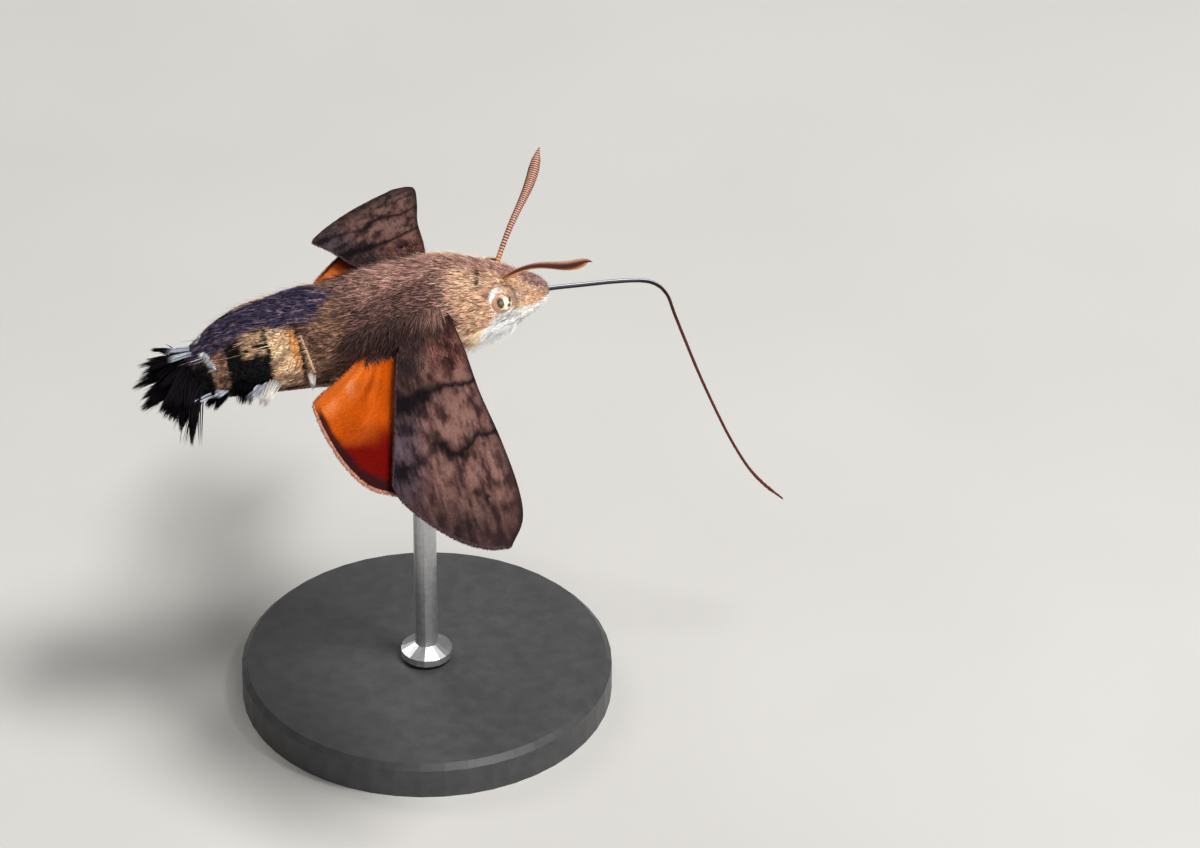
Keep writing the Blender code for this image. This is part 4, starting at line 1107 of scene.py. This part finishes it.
def make_wing(wing, side_name, material):
    """A thin scaled membrane: its patterned upper face, rusty lower face and raised veins."""
    spans, chords = WING_GRID[wing]
    grid = wing_grid(wing, spans, chords)
    outward, forward = grid[..., 0], grid[..., 1]
    span = np.linspace(0, 1, spans + 1)[:, None] + np.zeros((1, chords + 1))
    chord = np.linspace(0, 1, chords + 1)[None, :] + np.zeros((spans + 1, 1))
    relief = np.zeros_like(outward)
    for place, start in VEINS[wing]:
        shown = smoothstep(start - 0.02, start + 0.10, span) if start else 1.0
        relief += (bell(chord, place, 0.010) * 0.045 - bell(chord, place, 0.045) * 0.03) * shown
    relief += bell(chord, 0.975, 0.018) * 0.05
    thin = np.minimum(smoothstep(0, 0.02, chord), smoothstep(1, 0.985, chord)) * smoothstep(1, 0.985, span)
    half = WING_THICKNESS / 2 * (0.25 + 0.75 * thin)
    top = wing_place(wing, side_name, outward, forward, half + relief)
    low = wing_place(wing, side_name, outward, forward, relief - half)
    if wing == "fore":
        upper = forewing_colour(outward, forward, chord)
    else:
        upper = hindwing_colour(outward, forward, chord, span)
    lower = under_colour(wing, outward, forward, chord, span)
    count = outward.size
    index = np.arange(count).reshape(outward.shape)
    a, b, c, d = index[:-1, :-1], index[:-1, 1:], index[1:, 1:], index[1:, :-1]
    upper_faces = np.stack((a, b, c, d), axis=-1).reshape(-1, 4)
    lower_faces = upper_faces[:, ::-1] + count
    rim = np.concatenate((index[0, :-1], index[:-1, -1], index[-1, :0:-1], index[:0:-1, 0]))
    after = np.roll(rim, -1)
    rim_faces = np.stack((rim, rim + count, after + count, after), axis=-1)
    faces = np.concatenate((upper_faces, lower_faces, rim_faces))
    if SIDES[side_name] < 0:
        faces = faces[:, ::-1]
    uv_top = np.stack((0.02 + 0.46 * chord, 0.02 + 0.96 * span), axis=-1).reshape(-1, 2)
    uv_low = uv_top + (0.5, 0.0)
    verts = np.concatenate((top.reshape(-1, 3), low.reshape(-1, 3)))
    colour = np.concatenate((upper.reshape(-1, 3), lower.reshape(-1, 3)))
    made = build_mesh(f"{wing}wing_membrane_{side_name}", verts, faces, material, colour,
                      np.concatenate((uv_top, uv_low)))
    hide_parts(f"{wing}wing_{side_name}")
    make_fringe(wing, side_name, grid, material)


def make_fringe(wing, side_name, grid, material):
    """Fringe of fine scales along the outer edge and the rear edge."""
    seed, count = FRINGE[wing]
    rng = np.random.default_rng(seed + (side_name == "left"))
    t = rng.uniform(0, 1, count)
    on_end = rng.uniform(0, 1, count) > 0.35
    at_end = column(on_end)
    spans, chords = grid.shape[0] - 1, grid.shape[1] - 1
    row = np.where(on_end, float(spans), spans * (0.25 + 0.75 * t))
    col = np.where(on_end, chords * t, 0.0)
    r0, c0 = np.floor(row).astype(int).clip(0, spans), np.floor(col).astype(int).clip(0, chords)
    r1, c1 = (r0 + 1).clip(0, spans), (c0 + 1).clip(0, chords)
    share = column(np.where(on_end, col - c0, row - r0))
    here = grid[r0, c0] * (1 - share) + np.where(at_end, grid[r0, c1], grid[r1, c0]) * share
    inner = np.where(at_end, grid[(r0 - 6).clip(0), c0], grid[r0, (c0 + 6).clip(0, chords)])
    away = unit(here - inner)
    ahead_step = unit(away + rng.normal(0, 0.12, (count, 2))) * 0.1
    base = here - away * 0.10

    def on_wing(places, height):
        return wing_place(wing, side_name, places[:, 0], places[:, 1], height + np.zeros(count))

    root = on_wing(base, rng.uniform(-0.02, 0.02, count))
    level = on_wing(base, 0.0)
    if wing == "fore":
        colour = mix(WING_BROWN * 0.8, WING_GREY, rng.uniform(0, 0.8, count))
    else:
        colour = mix(FRINGE_PINK, ORANGE, np.where(on_end, rng.uniform(0, 0.4, count), 0.85))
    colour = colour * column(rng.uniform(0.75, 1.2, count))
    uv = np.stack((0.02 + 0.46 * col / chords, 0.02 + 0.96 * row / spans), axis=-1)
    made = tufts(f"{wing}wing_fringe_{side_name}", root, on_wing(base + ahead_step, 0.0) - level,
                 on_wing(base, 1.0) - level, rng.uniform(0.20, 0.38, count), rng.uniform(0.05, 0.08, count),
                 0.0, 0.03, colour, material, uv, root_shade=0.85, tip_light=1.1)


# Tubes: antennae, tongue, legs

def ring_turns(sides):
    return np.linspace(0, 2 * math.pi, sides, endpoint=False)


def tube_ring(path, sides, reference=(0.0, 0.0, 1.0), flatten=1.0):
    """Directions from each place of a path to the vertices of the ring round it."""
    tangent = unit(np.gradient(path, axis=0))
    first = unit(np.cross(tangent, np.array(reference)))
    second = np.cross(first, tangent)
    turn = ring_turns(sides)
    return (first[:, None] * np.cos(turn)[None, :, None]
            + second[:, None] * (np.sin(turn) * flatten)[None, :, None])


def tube_mesh(name, path, radii, material, colour, reference=(0.0, 0.0, 1.0), flatten=1.0):
    """A closed tube along a path of moth places, with a radius for each place and colours for each ring."""
    rows, sides = colour.shape[:2]
    ring = tube_ring(path, sides, reference, flatten)
    body = path[:, None] + ring * radii[:, None, None]
    verts = np.concatenate((body.reshape(-1, 3), path[:1], path[-1:]))
    index, quads = ring_faces(rows, sides)
    low, high = rows * sides, rows * sides + 1
    caps = [(low, b, a) for a, b in zip(index[0], np.roll(index[0], -1))]
    caps += [(high, a, b) for a, b in zip(index[-1], np.roll(index[-1], -1))]
    triangles = np.concatenate((quads[:, (0, 1, 2)], quads[:, (0, 2, 3)], np.array(caps)))
    colour = colour.reshape(-1, 3)
    colour = np.concatenate((colour, colour[:1], colour[-1:]))
    round_uv = ring_turns(sides) / (2 * math.pi) * 0.9 + 0.05
    along_uv = np.linspace(0, 1, rows) * 0.96 + 0.02
    uv = np.stack((np.tile(round_uv, rows), np.repeat(along_uv, sides)), axis=-1)
    uv = np.concatenate((uv, ((0.5, 0.01), (0.5, 0.99))))
    return build_mesh(name, verts, triangles, material, colour, uv), ring


ANTENNA_ROOT = (5.20, 1.10)
ANTENNA_REACH = (4.75, 6.00, 4.05)
ANTENNA_BOW = (0.31, 0.0, 0.23)
ANTENNA_WAVE = (0.0, 0.0, 0.29)
ANTENNA_RINGS = 52
ANTENNA_STEPS = 6
ANTENNA_SIDES = 20
HOOK_START = 0.94
HOOK_REACH = (0.06, 0.14, -0.12)
ANTENNA_RADII = ((0.0, 0.16), (0.05, 0.20), (0.15, 0.21), (0.45, 0.28), (0.70, 0.40), (0.82, 0.43),
                 (0.90, 0.34), (0.95, 0.18), (1.0, 0.03))


def antenna_path(side, count):
    f, l = ANTENNA_ROOT
    middle, half_width, half_height = section(f)
    root = np.array((f, l, float(middle + half_height * math.sqrt(1 - (l / half_width) ** 2))))
    reach = np.array(ANTENNA_REACH)
    direction = reach / np.linalg.norm(reach)
    t = np.linspace(0, 1, count + 1)[:, None]
    path = root - direction * 0.25 + (reach + direction * 0.55) * t
    path = path + np.array(ANTENNA_BOW) * np.sin(math.pi * t)
    path = path + np.array(ANTENNA_WAVE) * np.sin(2 * math.pi * t)
    hook = np.clip((t - HOOK_START) / (1 - HOOK_START), 0, 1) ** 2
    path = path + hook * np.array(HOOK_REACH)
    return path * (1, side, 1)


def make_antenna(side_name, side, material):
    """A ringed brown club, pale between its rings on the inner side, gold below, with a hooked tip."""
    path = antenna_path(side, ANTENNA_RINGS * ANTENNA_STEPS)
    t = np.linspace(0, 1, len(path))
    saw = (t * ANTENNA_RINGS) % 1.0
    radius = np.interp(t, *np.array(ANTENNA_RADII).T)
    radius = radius * (0.93 + 0.09 * np.sin(math.pi * saw) ** 0.6) * 0.92
    facing = tube_ring(path, ANTENNA_SIDES)
    inner = smoothstep(-0.1, 0.4, facing @ unit(np.array((0.1, -side, 0.3))))
    lower_edge = smoothstep(0.62, 0.84, facing @ unit(np.array((0.0, 0.9 * side, -0.45))))
    base = column(smoothstep(0.14, 0.03, t)) * np.ones((1, ANTENNA_SIDES))
    colour = paint(ANTENNA_BROWN, (ANTENNA_PALE, inner * column(band(saw, 0.35, 0.6, 0.85, 1.0)) * 0.9),
                   (ANTENNA_GOLD, lower_edge * 0.9), (ANTENNA_GOLD, base * 0.3))
    ring_dark = np.clip(smoothstep(0.88, 0.98, saw) + smoothstep(0.12, 0.02, saw), 0, 1)
    colour = colour * (1 - 0.35 * ring_dark)[:, None, None]
    made, _ = tube_mesh(f"antenna_club_{side_name}", path, radius, material, colour, flatten=0.86)
    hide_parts(f"antenna_{side_name}")


PROBOSCIS_ROUTE = ((7.4, -0.86), (8.50, -0.90), (10.6, -1.20), (12.9, -1.55), (14.8, -2.00), (15.8, -2.65),
                   (16.4, -3.70), (16.7, -5.20), (17.2, -7.50), (17.9, -10.6), (18.7, -13.7), (19.6, -16.8),
                   (20.6, -19.5), (21.6, -21.3), (22.8, -22.9))
PROBOSCIS_RADII = ((0.0, 0.25, 0.85, 0.95, 1.0), (0.125, 0.112, 0.095, 0.09, 0.04))
PROBOSCIS_STEPS = 900
PROBOSCIS_SIDES = 14
HALF_APART = 0.066


def make_proboscis():
    """The tongue: two half tubes, black with a painted highlight along the groove, reddish further on, rough
    at the tip.
    """
    material = painted_material("proboscis", 0.35, 0.15, 9000.0, 3.0, 0.8, 1.15)[0]
    route = smooth_path([(f, 0.0, u) for f, u in PROBOSCIS_ROUTE], PROBOSCIS_STEPS)
    t = np.linspace(0, 1, len(route))
    rng = np.random.default_rng(81)
    rough = smoothstep(0.86, 0.92, t)
    radius = np.interp(t, *PROBOSCIS_RADII) * (1 + rough * rng.uniform(-0.18, 0.30, len(t)))
    tint = mix(TONGUE_BLACK, TONGUE_RED, smoothstep(0.22, 0.5, t) * 0.9)
    for half, side in SIDES.items():
        # Painted highlight: near the root, the side of each half that faces up and towards the groove is made
        # pale.
        groove_highlight = smoothstep(0.72, 0.95, np.cos(ring_turns(PROBOSCIS_SIDES) + math.radians(50 * side)))
        shine = groove_highlight[None, :] * column(smoothstep(0.35, 0.22, t))
        colour = mix(np.repeat(tint[:, None], PROBOSCIS_SIDES, axis=1), BLUISH_WHITE, shine * 0.9)
        made, _ = tube_mesh(f"tongue_{half}", route + (0.0, HALF_APART * side, 0.0), radius, material,
                            colour, reference=(0, 1, 0))
    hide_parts("proboscis_base", "proboscis_middle", "proboscis_tip")


# Joints of each leg on the left side, from its root inside the body
LEGS = {
    "front": ((1.3, 1.1, -3.2), (1.45, 1.15, -4.05), (0.9, 1.35, -4.33), (0.0, 1.65, -4.38),
              (-1.0, 1.95, -4.26), (-1.9, 2.08, -4.13), (-2.9, 2.10, -4.08)),
    "middle": ((0.3, 2.5, -2.2), (-0.2, 2.75, -3.00), (-1.2, 2.95, -3.28), (-2.4, 2.95, -3.40),
               (-3.8, 2.78, -3.48), (-5.2, 2.50, -3.58), (-6.8, 2.15, -3.70)),
    "hind": ((-3.0, 1.2, -3.1), (-3.4, 1.15, -3.75), (-4.4, 1.22, -3.85), (-5.8, 1.15, -3.82),
             (-7.6, 0.95, -3.80), (-9.6, 0.75, -3.72), (-12.0, 0.65, -3.50)),
}
LEG_RADII = ((0.0, 0.18, 0.32, 0.37, 0.60, 0.66, 0.97, 1.0),
             (0.34, 0.34, 0.22, 0.20, 0.18, 0.13, 0.10, 0.05))
LEG_SEEDS = {"front": 90, "middle": 92, "hind": 94}
LEG_STEPS = 160
LEG_SIDES = 14
LEG_SCALES = 600
FOOT_START = 0.66
FOOT_LENGTH = 0.34
FOOT_JOINTS = 5


def make_leg(pair, side_name, side, material, fur):
    """A slim scaled leg: thicker thigh, shin, and a foot of small joints."""
    path = smooth_path(LEGS[pair], LEG_STEPS) * (1, side, 1)
    t = np.linspace(0, 1, len(path))
    joint = (np.clip((t - FOOT_START) / FOOT_LENGTH, 0, 1) * FOOT_JOINTS) % 1.0
    radius = np.interp(t, *LEG_RADII) * (1 - 0.22 * smoothstep(0.85, 1.0, joint) * (t > FOOT_START))
    shade = mix(LEG_BROWN, LEG_PALE, smoothstep(0.25, 0.0, t))
    colour = np.repeat(shade[:, None], LEG_SIDES, axis=1)
    made, ring = tube_mesh(f"leg_skin_{pair}_{side_name}", path, radius, material, colour)
    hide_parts(f"leg_{pair}_{side_name}")
    rng = np.random.default_rng(LEG_SEEDS[pair] + (side > 0))
    place = rng.integers(2, len(path) - 3, LEG_SCALES)
    which = rng.integers(0, LEG_SIDES, LEG_SCALES)
    root = path[place] + ring[place, which] * column(radius[place]) * 0.95
    tone = shade[place] * hair_tones(rng, 0.2, 0.5, 1.5, LEG_SCALES)
    length = np.interp(place / len(path), (0, 0.3, 0.6, 1.0), (0.55, 0.36, 0.28, 0.16))
    uv = np.stack((0.05 + 0.9 * which / LEG_SIDES, 0.02 + 0.96 * place / len(path)), axis=-1)
    made = tufts(f"leg_scales_{pair}_{side_name}", root, path[place + 1] - path[place],
                 unit(ring[place, which]), length, length * 0.16, rng.uniform(0.1, 0.35, LEG_SCALES), 0.05,
                 tone, fur, uv)


# Tail fan and side tufts


# The fan: its turn to one side, half its opening, slope, length and count of hairs
FAN_YAW = math.radians(-11.0)
FAN_SPREAD = math.radians(63.0)
FAN_SLOPE = -0.36
FAN_LENGTH = 4.35
FAN_HAIRS = 3200

# Its tiers of locks: height, count and share of the length
FAN_TIERS = ((0.8, 8, 0.88), (0.3, 10, 1.0), (-0.2, 10, 0.98), (-0.7, 8, 0.86))


def make_tail_fan(material):
    """Dense black locks in tiers, spread and drooping, each of many fine hairs."""
    rng = np.random.default_rng(101)
    middle, half_width, half_height = (float(v) for v in section(TAIL_ROOT))
    rows = []
    for height, locks, size in FAN_TIERS:
        for i in range(locks):
            share = 2 * (i + 0.5) / locks - 1 + rng.uniform(-0.08, 0.08)
            rows.append((share, height, size * rng.uniform(0.72, 1.08)))
    count = FAN_HAIRS
    lock = rng.integers(0, len(rows), count)
    share, height, size = np.array(rows)[lock].T
    spread = rng.normal(0, 0.13, count)
    root_share = (share + spread * 1.4).clip(-1, 1)
    depth = rng.uniform(0.0, 1.2, count)
    root = np.stack((TAIL_ROOT + 0.35 - depth, root_share * half_width * 0.80,
                     middle + height * half_height * 0.62 * np.sqrt(1 - 0.8 * root_share**2)
                     + rng.normal(0, 0.12, count)), axis=-1)
    angle = share * FAN_SPREAD + FAN_YAW
    length = FAN_LENGTH * size
    reach = np.stack((-np.cos(angle), np.sin(angle), FAN_SLOPE + 0.10 * height), axis=-1) * length[:, None]
    start = np.stack((np.full(count, TAIL_ROOT), share * half_width * 0.75,
                      middle + height * half_height * 0.5), axis=-1)
    side = np.stack((np.sin(angle), np.cos(angle), np.zeros(count)), axis=-1)
    stray = np.where(rng.uniform(0, 1, count) < 0.12, 3.0, 0.45)
    tip = start + reach + side * (spread * stray)[:, None] + rng.normal(0, 0.04, (count, 3))
    tip = tip - reach * (rng.uniform(0, 1, count) ** 2 * 0.35)[:, None]
    up = np.stack((np.full(count, -0.2), 0.2 * share, np.ones(count)), axis=-1)
    colour = BLACK * column(rng.uniform(0.6, 2.2, count))
    made = tufts("tail_locks", root, tip - root, up, np.linalg.norm(tip - root, axis=1),
                 rng.uniform(0.06, 0.12, count), 0.12, rng.uniform(0.10, 0.16, count), colour, material,
                 plane_uv(share, height, 0.45), kind="long", tip_light=1.2, root_shade=0.9)


# Brushes of hair on each side: place along the body, rise round it, depth of the root under the skin,
# direction on the left side, length, spread at root and tip, count and width of hairs, and their look
Brush = namedtuple("Brush", ("label", "place", "rise", "depth", "direction", "length", "root_spread",
                             "tip_spread", "count", "width", "tint", "slot"))
BRUSHES = (
    Brush("line", -9.15, -12, 0.15, (-0.14, 0.80, -0.56),
          1.5, 0.30, 0.20, 170, 0.045, WHITE, "pale_fur"),
    Brush("main", -11.75, -12, 0.15, (-0.55, 0.80, -0.20),
          2.7, 0.42, 0.30, 320, 0.050, WHITE, "pale_fur"),
    Brush("feather", -12.3, -12, 0.15, (-0.80, 0.60, -0.10),
          2.0, 0.45, 0.55, 150, 0.045, BLUISH_WHITE, "pale_fur"),
    Brush("black", -13.65, -8, 0.15, (-0.40, 0.80, -0.35),
          1.75, 0.62, 0.62, 460, 0.055, BLACK, "dark_fur"),
    Brush("small", -14.95, -16, 0.15, (-0.92, 0.40, -0.16),
          1.5, 0.30, 0.30, 150, 0.045, BLUISH_WHITE, "pale_fur"),
    Brush("edge", -15.3, -30, 0.15, (-0.75, 0.60, -0.25),
          1.6, 0.60, 0.55, 260, 0.055, BLACK, "dark_fur"),
    Brush("low", -15.9, -10, -0.35, (-0.93, 0.36, 0.02),
          2.2, 0.16, 0.10, 90, 0.045, BLUISH_WHITE, "pale_fur"),
    Brush("top", -16.6, 86, -0.35, (-1.0, 0.10, 0.06),
          2.0, 0.30, 0.45, 130, 0.045, BLUISH_WHITE, "pale_fur"),
)


def make_brush(kind, side_name, side, rng, material):
    """Fine hairs in a few locks, each lock drawn together at its tip."""
    spot, normal, _, _ = skin_frame(np.array([kind.place]), np.array([side_angle(kind.rise, side)]))
    centre = spot[0] - normal[0] * kind.depth
    direction = unit(np.array(kind.direction) * (1, side, 1))
    up = unit(np.array((0.25, 0.2 * side, 1.0)))
    across = unit(np.cross(up, direction))
    count, slot = kind.count, kind.slot
    locks = max(4, count // 26)
    lock_place = rng.uniform(-1, 1, (locks, 2))
    lock_reach = rng.uniform(0.62, 1.0, locks)
    lock = rng.integers(0, locks, count)
    off = rng.normal(0, 0.22, (count, 2))
    place = lock_place[lock] + off
    goal = lock_place[lock] + off * 0.7
    roots = centre + (across * place[:, :1] + up * place[:, 1:] * 0.5) * kind.root_spread
    reach = kind.length * lock_reach[lock] * (1 - 0.45 * rng.uniform(0, 1, count) ** 2)
    spread = (across * goal[:, :1] + up * goal[:, 1:] * 0.5) * kind.tip_spread
    tips = centre + direction * column(reach) + spread
    colour = kind.tint * column(rng.uniform(0.30, 1.0, count))
    made = tufts(f"brush_{kind.label}_{side_name}", roots, tips - roots, up,
                 np.linalg.norm(tips - roots, axis=1), kind.width * rng.uniform(0.5, 1.1, count), 0.10,
                 rng.uniform(0.08, 0.2, count), colour, material, plane_uv(place[:, 0], place[:, 1], 0.3),
                 kind="long", tip_light=1.1, root_shade=0.45)


def make_brushes(material, dark):
    """White and black brushes that stand out from the sides of the abdomen and over the fan."""
    rng = np.random.default_rng(111)
    for kind in BRUSHES:
        for side_name, side in SIDES.items():
            make_brush(kind, side_name, side, rng, dark if kind.slot == "dark_fur" else material)


# Hair over the wing roots

# Hair from the flank, and from the upper faces of the wings: count, and reach outward
FLANK_HAIRS = 2600
WING_HAIRS = {"fore": (1500, 4.4), "hind": (500, 2.0)}


def make_wing_hair(side_name, side, material):
    """Long dark hair from the flanks out over the bases of both wings."""
    rng = np.random.default_rng(131 if side > 0 else 132)
    start = wing_place("fore", side_name, 2.0, 0.0, 0.0)
    out = unit(wing_place("fore", side_name, 3.0, 0.0, 0.0) - start)
    up = unit(wing_place("fore", side_name, 2.0, 0.0, 1.0) - start)
    back = np.array((-1.0, 0.0, 0.0))

    def leaning(lean):
        return out * column(np.cos(lean)) + back * column(np.sin(lean))

    # From the flank
    count = FLANK_HAIRS
    f = rng.uniform(-5.8, 0.2, count)
    angle = side_angle(rng.uniform(6, 32, count), side)
    spot = skin_point(f, angle)
    lean = rng.normal(0.45, 0.22, count) + np.interp(f, (-5.6, -1.0, 0.9), (0.5, 0.0, -0.25))
    pale = (rng.uniform(0, 1, count) > 0.97) * smoothstep(-4.4, -3.0, f) * smoothstep(0.0, -1.2, f)
    length = np.where(pale > 0, 0.55, 0.6 + 2.0 * rng.uniform(0, 1, count) ** 1.5)
    brown_share = (0.35 + 0.65 * smoothstep(-1.8, 0.2, f)) * rng.uniform(0.0, 1.0, count)
    own = body_colour(spot, f, angle)
    tone = paint(DARK_BROWN, (SIDE_BROWN, brown_share), (own, smoothstep(-2.0, -0.4, f)),
                 (BLUISH_WHITE * 0.7, pale * 0.9))
    roots, lies, lengths, tones = [spot], [leaning(lean)], [length], [tone]
    # From the wings' upper faces, in the wings' own colours, thinning outward
    for wing, (number, reach) in WING_HAIRS.items():
        front_line, rear_line = OUTLINES[wing]["front"], OUTLINES[wing]["rear"]
        outward = 0.5 + reach * rng.uniform(0, 1, number) ** 1.8
        front = np.interp(outward, (0.9, 8.0), (front_line[1][1], front_line[3][1]))
        rear = np.interp(outward, (0.9, 3.5), (rear_line[1][1], rear_line[2][1]))
        share = rng.uniform(0.03, 0.97, number)
        forward = rear + (front - rear) * share
        roots.append(wing_place(wing, side_name, outward, forward, np.full(number, 0.04)))
        lies.append(leaning(rng.normal(0.12, 0.25, number) + (0.5 - share) * 0.5))
        lengths.append(rng.uniform(0.5, 1.1, number) * np.interp(outward, (0.5, 5.0), (1.3, 0.6)))
        if wing == "fore":
            # Hair over the forewing's rear base is darker: dark hair, and painted shade where it meets the
            # hindwing.
            rear_dark_and_shade = smoothstep(0.55, 0.25, share) * smoothstep(4.5, 2.5, outward)
            tones.append(mix(forewing_colour(outward, forward, share) * 1.2, DARK_BROWN, rear_dark_and_shade * 0.7))
        else:
            tones.append(mix(DARK_BROWN, SIDE_BROWN, rng.uniform(0, 0.6, number)))
    roots, lies, lengths, tones = (np.concatenate(parts) for parts in (roots, lies, lengths, tones))
    count = len(roots)
    tones = tones * hair_tones(rng, 0.3, 0.4, 1.8, count)
    uv = np.stack((0.5 + lies[:, 0] * 0.4, body_uv(roots[:, 0], np.zeros(count))[:, 1]), axis=-1)
    made = tufts(f"wing_hair_{side_name}", roots, lies, up, lengths, rng.uniform(0.050, 0.085, count),
                 rng.uniform(0.06, 0.22, count), rng.uniform(0.10, 0.25, count), tones, material, uv,
                 root_shade=0.6, tip_light=1.2)


# Stand and stage

# Darker and lighter colour of each plain finish
BASE_GREYS = ((0.030, 0.030, 0.032), (0.048, 0.047, 0.048))
ROD_GREYS = ((0.42, 0.42, 0.43), (0.55, 0.55, 0.56))
FLOOR_GREYS = ((0.40, 0.39, 0.37), (0.42, 0.41, 0.39))


def make_stand_looks():
    """A dark plastic base and a steel rod, on the stand's own solids."""
    base, tree, shader, noise = speckled_material("stand_base_finish", 0.42, 900.0, 5.0, *BASE_GREYS,
                                                  specular=0.4)
    add_bump(tree, shader, noise.outputs["Fac"], 0.15, 0.00004)
    rod = speckled_material("stand_rod_finish", 0.3, 2500.0, 3.0, *ROD_GREYS, metallic=0.9)[0]
    for node, material in (("stand_base", base), ("stand_rod", rod)):
        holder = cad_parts[node]
        holder.data.materials.clear()
        holder.data.materials.append(material)
        holder.data.shade_smooth()
        holder.data.set_sharp_from_angle(angle=math.radians(50))


# Lamps: name, place, size and power, and the light of the room
LAMPS = (
    ("key", (0.16, -0.14, 0.50), 0.16, 4.2),
    ("fill", (0.05, -0.50, 0.12), 0.3, 1.8),
    ("back", (-0.15, 0.40, 0.42), 0.3, 1.3),
)
ROOM_TINT = (1.0, 0.98, 0.96, 1.0)
ROOM_LIGHT = 0.16


def make_stage():
    bpy.ops.mesh.primitive_plane_add(size=3.0, location=(0, 0, 0))
    floor = bpy.context.object
    floor.name = "floor"
    floor.data.materials.append(speckled_material("floor", 0.9, 30.0, 2.0, *FLOOR_GREYS, specular=0.1)[0])
    world = bpy.data.worlds.new("studio")
    bpy.context.scene.world = world
    world.use_nodes = True
    world.node_tree.nodes["Background"].inputs["Color"].default_value = ROOM_TINT
    world.node_tree.nodes["Background"].inputs["Strength"].default_value = ROOM_LIGHT
    target = Vector((0.0, 0.0, FLIGHT_HEIGHT * MM))
    for name, place, size, power in LAMPS:
        lamp = bpy.data.lights.new(name, "AREA")
        lamp.size = size
        lamp.energy = power
        light = bpy.data.objects.new(name, lamp)
        light.location = place
        light.rotation_euler = (target - light.location).to_track_quat("-Z", "Y").to_euler()
        bpy.context.scene.collection.objects.link(light)


def make_camera():
    a, e = CAMERA_AZIMUTH, CAMERA_ELEVATION
    back = Vector((math.sin(a) * math.cos(e), -math.cos(a) * math.cos(e), math.sin(e)))
    right = Vector((math.cos(a), math.sin(a), 0.0))
    up = back.cross(right)
    centre = Vector(to_world((0.0, 0.0, 0.0))) + right * AIM_RIGHT - up * AIM_DOWN
    data = bpy.data.cameras.new("camera")
    data.sensor_width = SENSOR
    data.lens = SENSOR * CAMERA_DISTANCE / VIEW_WIDTH
    data.clip_start = 0.01
    camera = bpy.data.objects.new("camera", data)
    camera.location = centre + back * CAMERA_DISTANCE
    camera.rotation_euler = (-back).to_track_quat("-Z", "Y").to_euler()
    bpy.context.scene.collection.objects.link(camera)
    bpy.context.scene.camera = camera
    bpy.context.scene.view_settings.view_transform = "Standard"


def main():
    make_camera()
    make_stage()
    make_stand_looks()
    make_skin()
    fur = coat_material("coat")
    make_coat(fur)
    make_loose_hairs(fur)
    make_side_marks(fur)
    wing_face = wing_material("wing_face")
    tube_skin = coat_material("tube_skin", roughness=0.5, specular=0.4)
    make_proboscis()
    for side_name, side in SIDES.items():
        make_eye(side_name, side)
        make_eye_ring(side_name, side, fur)
        make_brow(side_name, side, fur)
        make_antenna(side_name, side, tube_skin)
        make_wing_hair(side_name, side, fur)
        for wing in ("fore", "hind"):
            make_wing(wing, side_name, wing_face)
        for pair in LEGS:
            make_leg(pair, side_name, side, tube_skin, fur)
    dark_fur = coat_material("dark_coat", roughness=0.7, specular=0.03)
    make_tail_fan(dark_fur)
    make_brushes(fur, dark_fur)


main()
